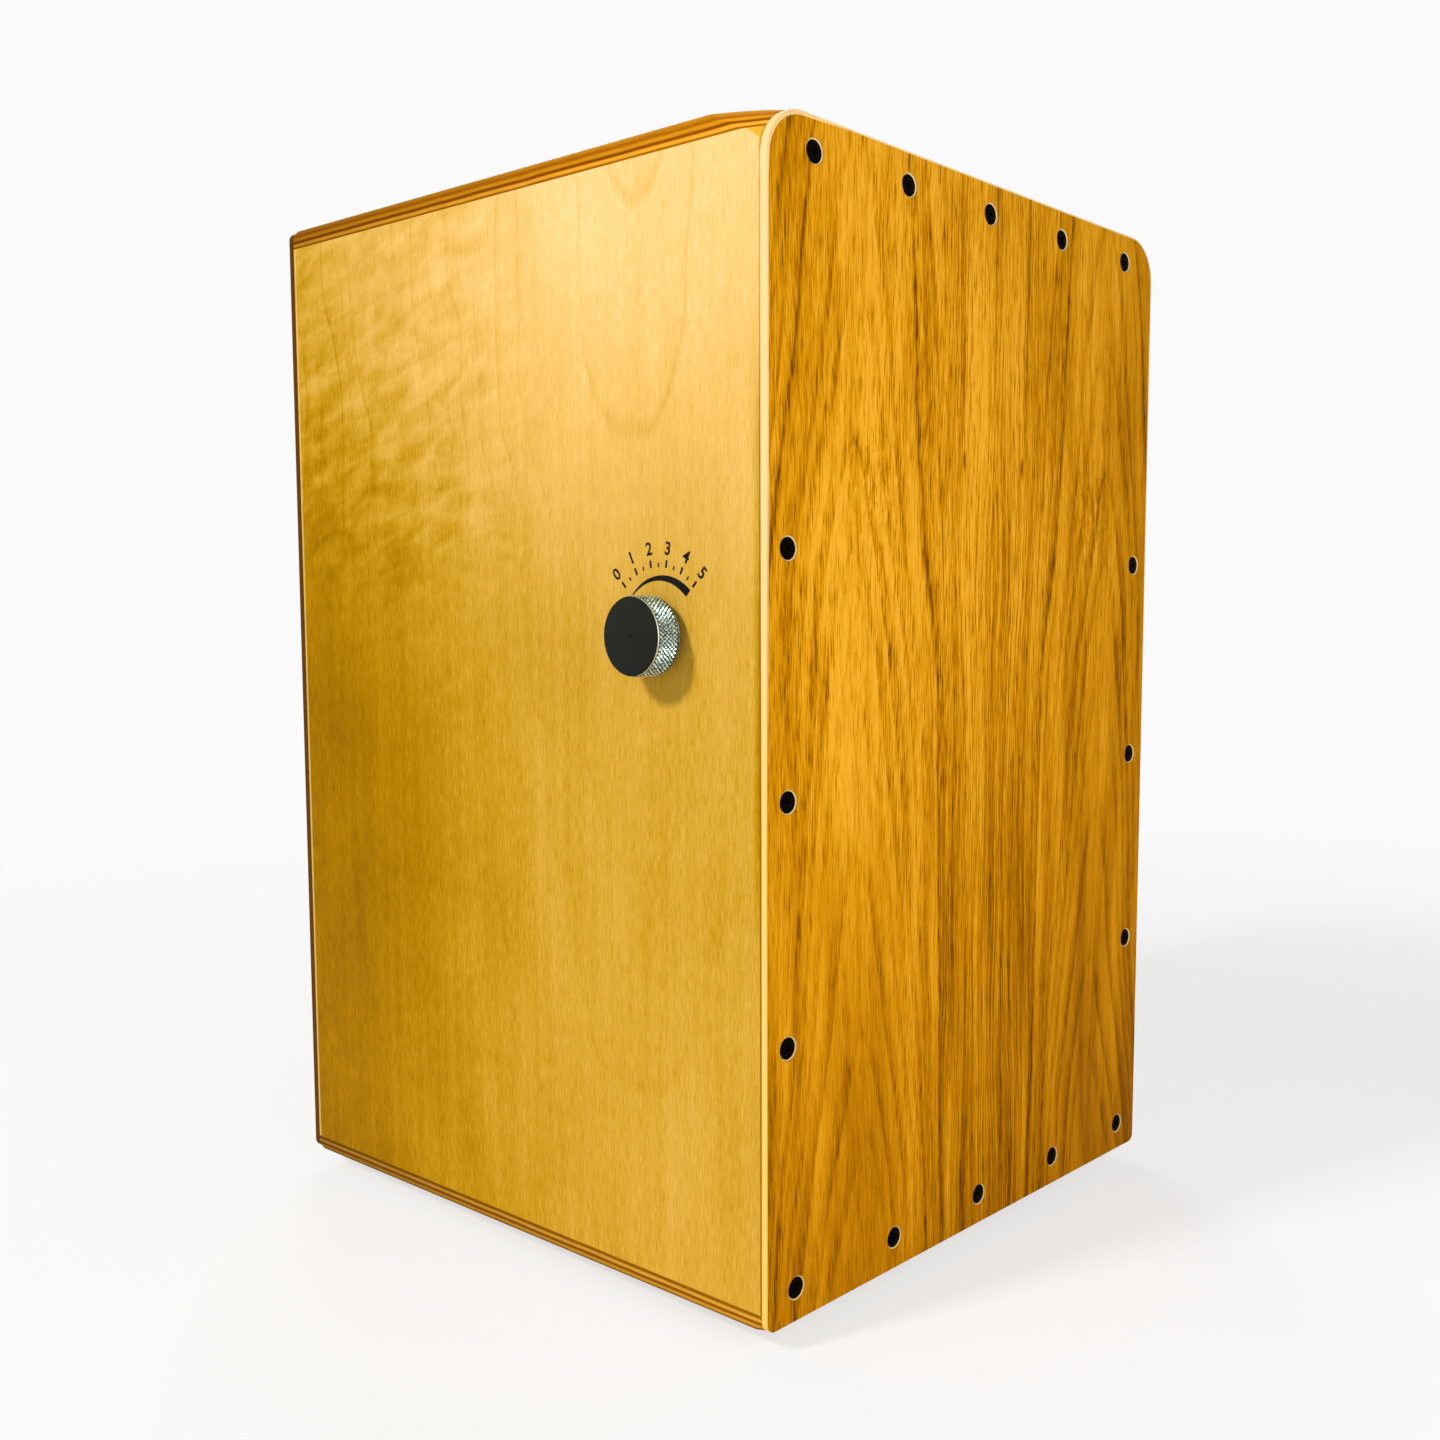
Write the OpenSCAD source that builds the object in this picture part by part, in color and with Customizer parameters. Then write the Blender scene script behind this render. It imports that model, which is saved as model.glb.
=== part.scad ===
// Cajon: a box drum with a screwed front plate and a snare that a side knob swings against it.
// Millimetres, +Z up. The tapa faces -Y and the knob is on the -X side.
// The origin lies on the floor, under the middle of the box.

/* [Body] */
// Width of the box across its side panels
body_width = 300; // [260:1:340]
// Depth of the box from the face of the tapa to the face of the back panel
body_depth = 340; // [280:1:380]
// Height of the box from the underside of the bottom panel to the seat
body_height = 490; // [430:1:540]

/* [Panels] */
// Thickness of the top panel, which is the seat
top_thickness = 9; // [8:0.5:15]
// Thickness of the bottom panel
bottom_thickness = 7; // [5:0.5:15]
// Thickness of each side panel
side_thickness = 9; // [8:0.5:15]
// Thickness of the tapa, the front plate that is played
tapa_thickness = 3.8; // [3.4:0.1:5]
// Thickness of the back panel
back_thickness = 4; // [3:0.1:8]

/* [Corners] */
// Corner radius at the top of the tapa
front_top_radius = 20; // [12:1:24]
// Corner radius at the bottom of the tapa
front_bottom_radius = 4; // [3:0.5:12]
// Corner radius at the top of the back panel
rear_top_radius = 4; // [3:0.5:12]
// Corner radius at the bottom of the back panel
rear_bottom_radius = 4; // [3:0.5:14]
// Length over which the top front rounding fades out along the box
front_top_fade = 30; // [10:1:40]
// Length over which each of the other roundings fades out along the box
other_fade = 6; // [4:1:40]
// Rounding along the long edges of the top and bottom panels
edge_radius = 1.2; // [0.6:0.1:2.5]

/* [Battens] */
// Width of a batten, measured away from the panel that it is glued to
batten_width = 20; // [14:1:30]
// Depth of a batten along the box
batten_depth = 20; // [20:1:32]

/* [Tapa screws] */
// Diameter of the screw head
screw_head_d = 9.2; // [7:0.1:10]
// Diameter of the screw shank
screw_shank_d = 4; // [3:0.1:5]
// Length of the screw from the rim of its head to its point
screw_length = 18; // [12:0.5:20]
// Diameter of the countersink at the face of the tapa
countersink_d = 10.8; // [10.4:0.1:12]
// Height of the dome on the screw head
screw_dome = 0.5; // [0.2:0.1:0.9]
// Width of the cross slots in the head
slot_width = 1; // [0.6:0.1:1.4]
// Length of the cross slots in the head
slot_length = 4.4; // [3:0.1:5]
// Depth of the cross slots below the rim of the head
slot_depth = 1.2; // [0.6:0.1:1.6]
// Distance of the top row from the inside of the top panel
top_row_inset = 4.6; // [3:0.1:11]
// Distance of the bottom row from the inside of the bottom panel
bottom_row_inset = 7; // [3:0.1:11]
// Distance of the side columns from the inside of the side panels
side_column_inset = 3.3; // [3:0.1:11]
// Distance of the outer screws of the top row from the side of the box
top_row_end = 27.7; // [20:0.1:40]
// Distance of the outer screws of the bottom row from the side of the box
bottom_row_end = 17.5; // [15:0.1:40]
// Number of screws in the top row and in the bottom row
row_screws = 5; // [3:1:7]
// Height of the lowest side screw above the underside of the box
side_screw_start = 117.5; // [60:0.5:140]
// Spacing of the side screws
side_screw_pitch = 101.5; // [80:0.5:120]
// Number of side screws in each column
side_screws = 3; // [2:1:3]

/* [Sound hole] */
// Diameter of the sound hole in the back panel
sound_hole_d = 110; // [80:1:140]
// Height of its centre above the underside of the box
sound_hole_height = 250; // [180:1:320]

/* [Feet] */
// Height of a rubber foot
foot_height = 10; // [8:0.5:20]
// Diameter of a foot at the top
foot_d = 38; // [30:1:50]
// How much narrower the foot is at the floor
foot_taper = 4; // [0:0.5:8]
// Distance of the foot's centre from each outer side of the box
foot_inset = 45; // [42:1:70]
// Diameter of the recess for the screw head
foot_recess_d = 14; // [13.4:0.2:18]
// Rubber left above the recess
foot_seat = 5.5; // [3:0.5:6]
// Diameter of the foot screw
foot_screw_d = 5; // [4:0.5:6]
// Diameter of the head of the foot screw
foot_head_d = 9.5; // [8:0.5:11]
// Height of the head of the foot screw
foot_head_height = 2.6; // [1.5:0.1:3]
// Diameter of the washer under the head
foot_washer_d = 13; // [11:0.5:13]
// Thickness of the washer under the head
foot_washer_thickness = 1; // [0.6:0.1:1.5]
// Width of the foot nut across its flats
foot_nut_flats = 8; // [7:0.5:10]
// Height of the foot nut above its flange
foot_nut_height = 4; // [3:0.5:6]
// Diameter of the flange of the foot nut
foot_flange_d = 12; // [11:0.5:16]
// Thickness of the flange of the foot nut
foot_flange_thickness = 1.2; // [0.8:0.1:2]
// Length of the foot screw past its nut
foot_screw_tail = 1.5; // [0.5:0.5:4]

/* [Knob] */
// Distance of the knob's axis behind the face of the tapa
knob_setback = 62; // [52:0.5:80]
// Height of the knob's axis above the underside of the box
knob_height = 285; // [220:1:340]
// Diameter of the knob
knob_d = 34; // [28:0.5:44]
// Length of the knob
knob_length = 11.8; // [10:0.2:16]
// Bevel round both ends of the knob
knob_bevel = 0.6; // [0.3:0.1:1.2]
// Width of the bright ring round the cap
cap_ring = 0.2; // [0.2:0.1:2]
// Thickness of the cap
cap_thickness = 1.4; // [0.8:0.1:2]
// Depth of the spindle's hole in the knob
knob_bore_depth = 8; // [6:0.5:8.5]
// Diameter of the grub screw that grips the spindle
grub_d = 4; // [3:0.5:5]
// Diameter of the hexagon socket in the grub screw
grub_socket_d = 2.3; // [1.5:0.1:2.5]

/* [Snare shaft] */
// Diameter of the spindle and of the end pin
spindle_d = 6; // [5:0.5:8]
// Length of the spindle and of the end pin inside the dowel
spindle_hold = 30; // [20:1:40]
// Diameter of the dowel that carries the snares
dowel_d = 20; // [18:0.5:26]
// Distance of the dowel's flat from its axis
dowel_flat = 8; // [7:0.25:8.5]
// Diameter of the cross pins
cross_pin_d = 3; // [2:0.5:4]
// Distance of each cross pin from its end of the dowel
cross_pin_inset = 15; // [8:0.5:18]
// Diameter of the bush in the side panel
bush_d = 12; // [11:0.5:16]
// Diameter of the flange of the bush
bush_flange_d = 20; // [18:0.5:26]
// Thickness of the flange of the bush
bush_flange_thickness = 1.6; // [1:0.1:3]
// Length of the bush past its nut
bush_tail = 1; // [0.5:0.1:3]
// Diameter of the washer under the bush nut
bush_washer_d = 22; // [20:0.5:30]
// Thickness of the washer under the bush nut
bush_washer_thickness = 1.2; // [0.8:0.1:2]
// Width of the bush nut across its flats
bush_nut_flats = 17; // [17:0.5:22]
// Thickness of the bush nut
bush_nut_thickness = 4; // [3:0.5:6]
// Diameter of the felt washer behind the knob
felt_d = 24; // [18:0.5:28]
// Thickness of the felt washer
felt_thickness = 2.1; // [1:0.1:4]
// Side of the square bearing block
block_side = 44; // [40:1:60]
// Thickness of the bearing block
block_thickness = 15; // [10:0.5:20]
// Depth of the pin's hole in the bearing block
block_bore_depth = 12; // [6:0.5:13]
// Distance of each block screw from the pin's axis, both ways
block_screw_reach = 15; // [14:0.5:16]
// Diameter of the block screws
block_screw_d = 3.5; // [2.5:0.1:4]
// Diameter of the heads of the block screws
block_head_d = 7; // [6:0.1:8]
// Height of the heads of the block screws
block_head_height = 2.2; // [1.5:0.1:3]
// Length of the block screws inside the side panel
block_screw_bite = 6; // [3:0.5:6.5]

/* [Snares] */
// Angle of the strands above the level, as they lean on the tapa
snare_lean = 43; // [35:1:55]
// Distance of each snare's middle from the middle of the box
snare_offset = 55; // [45:1:60]
// Number of strands in each snare
snare_strands = 10; // [6:1:12]
// Spacing of the strands
strand_pitch = 5; // [3:0.1:6]
// Diameter of a strand
strand_d = 2.2; // [1.6:0.1:2.6]
// Thickness of the strips at the ends of the strands
strip_thickness = 1; // [0.6:0.1:1.6]
// Length of the root strip past the dowel's flat
strip_reach = 9; // [7:0.5:14]
// Length of the tip strip along the strands
tip_length = 6; // [4:0.5:10]
// Spare width of each strip beyond its outer strands
strip_margin = 3; // [2:0.5:6]
// Thickness of the clamp plates
clamp_thickness = 1.5; // [1:0.1:3]
// Distance of each clamp screw from the end of its plate
clamp_screw_inset = 8; // [5:0.5:12]
// Diameter of the clamp screws
clamp_screw_d = 3; // [2.5:0.1:3.5]
// Diameter of the heads of the clamp screws
clamp_head_d = 6; // [5:0.1:7]
// Height of the heads of the clamp screws
clamp_head_height = 1.8; // [1:0.1:2.5]
// Length of the clamp screws inside the dowel
clamp_screw_bite = 10; // [6:0.5:13]

/* [Clearances] */
// Gap all round a screw, a nut or a pin in its hole
screw_clearance = 0.1; // [0.05:0.01:0.2]
// Radial running clearance of the spindle and the end pin
running_clearance = 0.05; // [0.02:0.01:0.1]
// Gap between the snare shaft's ends and what stands still
end_gap = 0.5; // [0.3:0.1:1]
// Gap between the felt washer and the bush
felt_gap = 0.3; // [0.2:0.1:0.6]
// Gap between the strands and the tapa
snare_gap = 0.4; // [0.3:0.1:1]
// Spare depth past the point of a screw or a pin
hole_spare = 1; // [0.5:0.1:2]

/* [Hidden] */
$fn = 64;
// How far a cutting shape runs past the face that it cuts
past = 1;
// How far the axis of a fading round is nearer the corner, so that the round crosses the faces at an angle
corner_crossing = 0.15;

// Faces of the box
half_width = body_width / 2;
inner_half_width = half_width - side_thickness;
front_y = -body_depth / 2;
rear_y = body_depth / 2;
frame_front_y = front_y + tapa_thickness;
frame_rear_y = rear_y - back_thickness;
frame_depth = frame_rear_y - frame_front_y;
base_z = foot_height;
floor_z = base_z + bottom_thickness;
seat_z = base_z + body_height;
ceiling_z = seat_z - top_thickness;
side_height = ceiling_z - floor_z;

// Places of the tapa screws, as [x, z]
screw_head_r = screw_head_d / 2;
screw_shank_r = screw_shank_d / 2;
screw_sink = (countersink_d - screw_head_d) / 2 - screw_clearance;
top_row_z = ceiling_z - top_row_inset;
bottom_row_z = floor_z + bottom_row_inset;
column_x = inner_half_width - side_column_inset;
function row_places(end_inset, z) = [
    for (i = [0 : row_screws - 1])
        [(half_width - end_inset) * (2 * i / (row_screws - 1) - 1), z]
];
function column_places(x) = [
    for (i = [0 : side_screws - 1]) [x, base_z + side_screw_start + i * side_screw_pitch]
];
top_places = row_places(top_row_end, top_row_z);
bottom_places = row_places(bottom_row_end, bottom_row_z);
left_places = column_places(-column_x);
right_places = column_places(column_x);
screw_places = concat(top_places, bottom_places, left_places, right_places);

// Heights in a foot and its fixings
foot_recess_z = foot_height - foot_seat;
foot_head_z = foot_recess_z - foot_washer_thickness;
foot_nut_z = floor_z + foot_flange_thickness;
foot_screw_top = foot_nut_z + foot_nut_height + foot_screw_tail;
foot_hole_r = foot_screw_d / 2 + screw_clearance;
foot_x = half_width - foot_inset;
foot_y = rear_y - foot_inset;

// The snare shaft's axis, and places along it, as x
axis_y = front_y + knob_setback;
axis_z = base_z + knob_height;
bush_face_x = -half_width - bush_flange_thickness;
felt_x = bush_face_x - felt_gap;
knob_back_x = felt_x - felt_thickness;
knob_face_x = knob_back_x - knob_length;
nut_x = -inner_half_width + bush_washer_thickness;
bush_end_x = nut_x + bush_nut_thickness + bush_tail;
dowel_start_x = bush_end_x + end_gap;
block_x = inner_half_width - block_thickness;
dowel_end_x = block_x - end_gap;
spindle_r = spindle_d / 2;
dowel_r = dowel_d / 2;
block_screw_r = block_screw_d / 2;

// The snares, in a frame whose Y runs along the strands and whose Z leaves the dowel's flat
strand_r = strand_d / 2;
strip_width = (snare_strands - 1) * strand_pitch + strand_d + 2 * strip_margin;
flat_half = sqrt(dowel_r * dowel_r - dowel_flat * dowel_flat);
strand_z = dowel_flat + strip_thickness / 2;
strip_top = dowel_flat + strip_thickness;
clamp_top = strip_top + clamp_thickness;
strip_end_y = flat_half + strip_reach;
strand_start_y = dowel_r + strand_r;
strand_reach = knob_setback - tapa_thickness - snare_gap - (strand_z + strand_r) * sin(snare_lean);
snare_end_y = strand_reach / cos(snare_lean);
clamp_screw_x = strip_width / 2 - clamp_screw_inset;
clamp_screw_r = clamp_screw_d / 2;

// Colours, as the pieces look
veneer_light = "#E8C573";
veneer_dark = "#C98A24";
ply_core = "#C98420";
batten_pine = "#D9B77E";
back_stain = "#6B4319";
black_metal = "#15130F";
bright_metal = "#C9CDCB";
zinc_metal = "#A9ABA8";
brass_metal = "#C9A24B";
rubber_black = "#222120";
felt_grey = "#4A4842";

// A plate outline standing on the X axis, with its own radius for the lower and the upper corners
module plate_outline(lower_radius, upper_radius) {
    difference() {
        translate([-half_width, base_z])
            square([body_width, body_height]);
        for (side = [-1, 1]) {
            translate([side * half_width, base_z])
                scale([-side, 1])
                    outline_corner(lower_radius);
            translate([side * half_width, seat_z])
                scale([-side, -1])
                    outline_corner(upper_radius);
        }
    }
}

// What a round corner takes off a square one at the origin
module outline_corner(radius) {
    difference() {
        translate([-past, -past])
            square(radius + past);
        translate([radius, radius])
            circle(r = radius);
    }
}

// A plate in the plane of the tapa, from back_face_y towards the front
module upright_plate(back_face_y, thickness, lower_radius, upper_radius) {
    translate([0, back_face_y, 0])
        rotate([90, 0, 0])
            linear_extrude(thickness)
                plate_outline(lower_radius, upper_radius);
}

// What a fading round takes off a corner at the origin whose faces look along +X and +Z
// The round starts in full at y = 0 and widens until it leaves the corner at y = fade
module fading_corner(radius, fade) {
    axis_inset = radius - corner_crossing;
    far_radius = axis_inset * sqrt(2);
    flare = 2 * past * (far_radius - radius) / fade;
    difference() {
        translate([-axis_inset, -past, -axis_inset])
            cube([axis_inset + past, fade + 2 * past, axis_inset + past]);
        translate([-axis_inset, -2 * past, -axis_inset])
            rotate([-90, 0, 0])
                cylinder(r1 = radius - flare, r2 = far_radius + flare, h = fade + 4 * past);
    }
}

// What a round takes off a long edge at the origin whose faces look along +X and +Z
module edge_round(radius) {
    difference() {
        translate([-radius, -past, -radius])
            cube([radius + past, frame_depth + 2 * past, radius + past]);
        translate([-radius, -2 * past, -radius])
            rotate([-90, 0, 0])
                cylinder(r = radius, h = frame_depth + 4 * past);
    }
}

// A panel of the box with the corners of the box rounded where they pass through it
module softened() {
    difference() {
        children();
        for (side = [0, 1])
            mirror([side, 0, 0]) {
                translate([half_width, frame_front_y, seat_z])
                    fading_corner(front_top_radius, front_top_fade);
                translate([half_width, frame_front_y, base_z])
                    mirror([0, 0, 1])
                        fading_corner(front_bottom_radius, other_fade);
                translate([half_width, frame_rear_y, seat_z])
                    mirror([0, 1, 0])
                        fading_corner(rear_top_radius, other_fade);
                translate([half_width, frame_rear_y, base_z])
                    mirror([0, 1, 0])
                        mirror([0, 0, 1])
                            fading_corner(rear_bottom_radius, other_fade);
            }
    }
}

// A flat board across the whole box, z from low_z up, with its outer long edges at edge_z softened
module cross_board(low_z, thickness, edge_z, edge_up) {
    softened()
        difference() {
            translate([-half_width, frame_front_y, low_z])
                cube([body_width, frame_depth, thickness]);
            for (side = [0, 1])
                mirror([side, 0, 0])
                    translate([half_width, frame_front_y, edge_z])
                        mirror([0, 0, edge_up ? 0 : 1])
                            edge_round(edge_radius);
        }
}

module side_board(x) {
    softened()
        translate([x, frame_front_y, floor_z])
            cube([side_thickness, frame_depth, side_height]);
}

// Points its Z axis along +X, on the axis of the snare shaft
module on_shaft(x) {
    translate([x, axis_y, axis_z])
        rotate([0, 90, 0])
            children();
}

// Places what follows at each foot
module at_feet() {
    for (x = [-foot_x, foot_x], y = [-foot_y, foot_y])
        translate([x, y, 0])
            children();
}

module top_panel() {
    color(veneer_light)
        cross_board(ceiling_z, top_thickness, seat_z, true);
}

module bottom_panel() {
    color(ply_core)
        difference() {
            cross_board(base_z, bottom_thickness, base_z, false);
            at_feet()
                translate([0, 0, base_z - past])
                    cylinder(r = foot_hole_r, h = bottom_thickness + 2 * past);
        }
}

module left_side_panel() {
    color(veneer_light)
        difference() {
            side_board(-half_width);
            on_shaft(-half_width - past)
                cylinder(r = bush_d / 2 + screw_clearance, h = side_thickness + 2 * past);
        }
}

module right_side_panel() {
    color(veneer_light)
        difference() {
            side_board(inner_half_width);
            at_block_screws(inner_half_width - past)
                cylinder(r = block_screw_r + screw_clearance, h = block_screw_bite + hole_spare + past);
        }
}

module back_panel() {
    color(back_stain)
        difference() {
            upright_plate(rear_y, back_thickness, rear_bottom_radius, rear_top_radius);
            translate([0, rear_y + past, base_z + sound_hole_height])
                rotate([90, 0, 0])
                    cylinder(d = sound_hole_d, h = back_thickness + 2 * past, $fn = 128);
        }
}

// Points its Z axis along +Y, into the box, at each of the places
module at_screws(places) {
    for (place = places)
        translate([place[0], front_y, place[1]])
            rotate([-90, 0, 0])
                children();
}

module countersunk_hole() {
    hole_r = screw_shank_r + screw_clearance;
    cone_depth = countersink_d / 2 - hole_r;
    translate([0, 0, -past])
        cylinder(r1 = countersink_d / 2 + past, r2 = hole_r, h = cone_depth + past);
    translate([0, 0, -past])
        cylinder(r = hole_r, h = tapa_thickness + 2 * past);
}

module tapa() {
    color(veneer_dark)
        difference() {
            upright_plate(frame_front_y, tapa_thickness, front_bottom_radius, front_top_radius);
            at_screws(screw_places)
                countersunk_hole();
        }
}

// A countersunk screw with a low domed head and a cross slot, its rim at z = screw_sink
module countersunk_screw() {
    dome_r = (screw_head_r * screw_head_r + screw_dome * screw_dome) / (2 * screw_dome);
    dome_half = asin(screw_head_r / dome_r);
    dome_steps = 6;
    point_length = screw_shank_d;
    neck_z = screw_sink + screw_head_r - screw_shank_r;
    end_z = screw_sink + screw_length;
    dome = [
        for (i = [0 : dome_steps])
            let (angle = dome_half * i / dome_steps)
                [dome_r * sin(angle), screw_sink - screw_dome + dome_r * (1 - cos(angle))]
    ];
    shank = [[screw_shank_r, neck_z], [screw_shank_r, end_z - point_length], [0, end_z]];
    difference() {
        rotate_extrude()
            polygon(concat(dome, shank));
        for (turn = [0, 90])
            rotate([0, 0, turn])
                translate([-slot_length / 2, -slot_width / 2, screw_sink - screw_dome - past])
                    cube([slot_length, slot_width, screw_dome + slot_depth + past]);
    }
}

module tapa_screws() {
    color(black_metal)
        at_screws(screw_places)
            countersunk_screw();
}

module screw_pilots(places) {
    pilot_depth = screw_sink + screw_length + hole_spare;
    at_screws(places)
        cylinder(r = screw_shank_r + screw_clearance, h = pilot_depth);
}

// A batten across the box, y and z from its low corner
module level_batten(y, z) {
    translate([-inner_half_width, y, z])
        cube([2 * inner_half_width, batten_depth, batten_width]);
}

// A batten up the box, between the level ones, x and y from its low corner
module upright_batten(x, y) {
    translate([x, y, floor_z + batten_width])
        cube([batten_width, batten_depth, side_height - 2 * batten_width]);
}

module front_top_batten() {
    color(batten_pine)
        difference() {
            level_batten(frame_front_y, ceiling_z - batten_width);
            screw_pilots(top_places);
        }
}

module front_bottom_batten() {
    color(batten_pine)
        difference() {
            level_batten(frame_front_y, floor_z);
            screw_pilots(bottom_places);
        }
}

module front_left_batten() {
    color(batten_pine)
        difference() {
            upright_batten(-inner_half_width, frame_front_y);
            screw_pilots(left_places);
        }
}

module front_right_batten() {
    color(batten_pine)
        difference() {
            upright_batten(inner_half_width - batten_width, frame_front_y);
            screw_pilots(right_places);
        }
}

module rear_top_batten() {
    color(batten_pine)
        level_batten(frame_rear_y - batten_depth, ceiling_z - batten_width);
}

module rear_bottom_batten() {
    color(batten_pine)
        level_batten(frame_rear_y - batten_depth, floor_z);
}

module rear_left_batten() {
    color(batten_pine)
        upright_batten(-inner_half_width, frame_rear_y - batten_depth);
}

module rear_right_batten() {
    color(batten_pine)
        upright_batten(inner_half_width - batten_width, frame_rear_y - batten_depth);
}

module foot(x, y) {
    color(rubber_black)
        translate([x, y, 0])
            difference() {
                cylinder(r1 = (foot_d - foot_taper) / 2, r2 = foot_d / 2, h = foot_height);
                translate([0, 0, -past])
                    cylinder(d = foot_recess_d, h = foot_recess_z + past);
                translate([0, 0, -past])
                    cylinder(r = foot_hole_r, h = foot_height + 2 * past);
            }
}

module front_left_foot() {
    foot(-foot_x, -foot_y);
}

module front_right_foot() {
    foot(foot_x, -foot_y);
}

module rear_left_foot() {
    foot(-foot_x, foot_y);
}

module rear_right_foot() {
    foot(foot_x, foot_y);
}

module foot_washers() {
    color(zinc_metal)
        at_feet()
            translate([0, 0, foot_head_z])
                difference() {
                    cylinder(d = foot_washer_d, h = foot_washer_thickness);
                    translate([0, 0, -past])
                        cylinder(r = foot_hole_r, h = foot_washer_thickness + 2 * past);
                }
}

module foot_screws() {
    color(zinc_metal)
        at_feet() {
            translate([0, 0, foot_head_z])
                cylinder(d = foot_screw_d, h = foot_screw_top - foot_head_z);
            translate([0, 0, foot_head_z - foot_head_height])
                difference() {
                    cylinder(d = foot_head_d, h = foot_head_height);
                    translate([0, 0, -past])
                        cylinder(d = foot_screw_d, h = foot_head_height / 2 + past, $fn = 6);
                }
        }
}

module foot_nuts() {
    color(zinc_metal)
        at_feet()
            translate([0, 0, floor_z])
                difference() {
                    union() {
                        cylinder(d = foot_flange_d, h = foot_flange_thickness);
                        cylinder(d = foot_nut_flats / cos(30), h = foot_flange_thickness + foot_nut_height, $fn = 6);
                    }
                    translate([0, 0, -past])
                        cylinder(r = foot_hole_r, h = foot_flange_thickness + foot_nut_height + 2 * past);
                }
}

module panel_bush() {
    color(brass_metal)
        difference() {
            union() {
                on_shaft(bush_face_x)
                    cylinder(d = bush_flange_d, h = bush_flange_thickness);
                on_shaft(bush_face_x)
                    cylinder(d = bush_d, h = bush_end_x - bush_face_x);
            }
            on_shaft(bush_face_x - past)
                cylinder(r = spindle_r + running_clearance, h = bush_end_x - bush_face_x + 2 * past);
        }
}

module bush_washer() {
    color(zinc_metal)
        difference() {
            on_shaft(-inner_half_width)
                cylinder(d = bush_washer_d, h = bush_washer_thickness);
            on_shaft(-inner_half_width - past)
                cylinder(r = bush_d / 2 + screw_clearance, h = bush_washer_thickness + 2 * past);
        }
}

module bush_nut() {
    color(brass_metal)
        difference() {
            on_shaft(nut_x)
                cylinder(d = bush_nut_flats / cos(30), h = bush_nut_thickness, $fn = 6);
            on_shaft(nut_x - past)
                cylinder(r = bush_d / 2 + screw_clearance, h = bush_nut_thickness + 2 * past);
        }
}

// Points its Z axis along +X at each of the four screws of the bearing block
module at_block_screws(x) {
    for (y = [-block_screw_reach, block_screw_reach], z = [-block_screw_reach, block_screw_reach])
        translate([0, y, z])
            on_shaft(x)
                children();
}

module bearing_block() {
    color(batten_pine)
        difference() {
            translate([block_x, axis_y - block_side / 2, axis_z - block_side / 2])
                cube([block_thickness, block_side, block_side]);
            on_shaft(block_x - past)
                cylinder(r = spindle_r + running_clearance, h = block_bore_depth + past);
            at_block_screws(block_x - past)
                cylinder(r = block_screw_r + screw_clearance, h = block_thickness + 2 * past);
        }
}

module block_screws() {
    color(zinc_metal)
        at_block_screws(block_x) {
            cylinder(r = block_screw_r, h = block_thickness + block_screw_bite);
            translate([0, 0, -block_head_height])
                cylinder(d = block_head_d, h = block_head_height);
        }
}

module felt_washer() {
    color(felt_grey)
        difference() {
            on_shaft(knob_back_x)
                cylinder(d = felt_d, h = felt_thickness);
            on_shaft(knob_back_x - past)
                cylinder(r = spindle_r + screw_clearance, h = felt_thickness + 2 * past);
        }
}

// The knob's rim, its Z axis running from the cap to the back
module knob_rim() {
    knob_r = knob_d / 2;
    cap_seat_r = knob_r - knob_bevel - cap_ring;
    rim_profile = [
        [0, cap_thickness],
        [cap_seat_r, cap_thickness],
        [cap_seat_r, 0],
        [knob_r - knob_bevel, 0],
        [knob_r, knob_bevel],
        [knob_r, knob_length - knob_bevel],
        [knob_r - knob_bevel, knob_length],
        [0, knob_length]
    ];
    color(bright_metal)
        difference() {
            on_shaft(knob_face_x)
                rotate_extrude($fn = 128)
                    polygon(rim_profile);
            on_shaft(knob_back_x - knob_bore_depth)
                cylinder(r = spindle_r + screw_clearance, h = knob_bore_depth + past);
            grub_hole();
        }
}

// Points its Z axis down from the shaft, half-way along the spindle's hole in the knob
module on_grub() {
    translate([knob_back_x - knob_bore_depth / 2, axis_y, axis_z])
        rotate([180, 0, 0])
            children();
}

module grub_hole() {
    on_grub()
        cylinder(r = grub_d / 2 + screw_clearance, h = knob_d);
}

module knob_grub_screw() {
    grub_end = knob_d / 2 - knob_bevel;
    color(black_metal)
        on_grub()
            difference() {
                translate([0, 0, spindle_r])
                    cylinder(d = grub_d, h = grub_end - spindle_r);
                translate([0, 0, (grub_end + spindle_r) / 2])
                    cylinder(d = grub_socket_d, h = grub_end, $fn = 6);
            }
}

module knob_cap() {
    cap_r = knob_d / 2 - knob_bevel - cap_ring - screw_clearance;
    color(black_metal)
        on_shaft(knob_face_x)
            cylinder(r = cap_r, h = cap_thickness, $fn = 128);
}

// Points its Z axis along the strands, across the shaft, at each cross pin
module at_cross_pins() {
    for (x = [dowel_start_x + cross_pin_inset, dowel_end_x - cross_pin_inset])
        translate([x, axis_y, axis_z])
            rotate([90 - snare_lean, 0, 0])
                children();
}

module cross_pin_holes() {
    at_cross_pins()
        translate([0, 0, -dowel_d])
            cylinder(r = cross_pin_d / 2 + screw_clearance, h = 2 * dowel_d);
}

module cross_pins() {
    color(zinc_metal)
        at_cross_pins()
            translate([0, 0, -dowel_r])
                cylinder(d = cross_pin_d, h = dowel_d);
}

module knob_spindle() {
    start_x = knob_back_x - knob_bore_depth + screw_clearance;
    color(zinc_metal)
        difference() {
            on_shaft(start_x)
                cylinder(r = spindle_r, h = dowel_start_x + spindle_hold - start_x);
            cross_pin_holes();
        }
}

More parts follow.
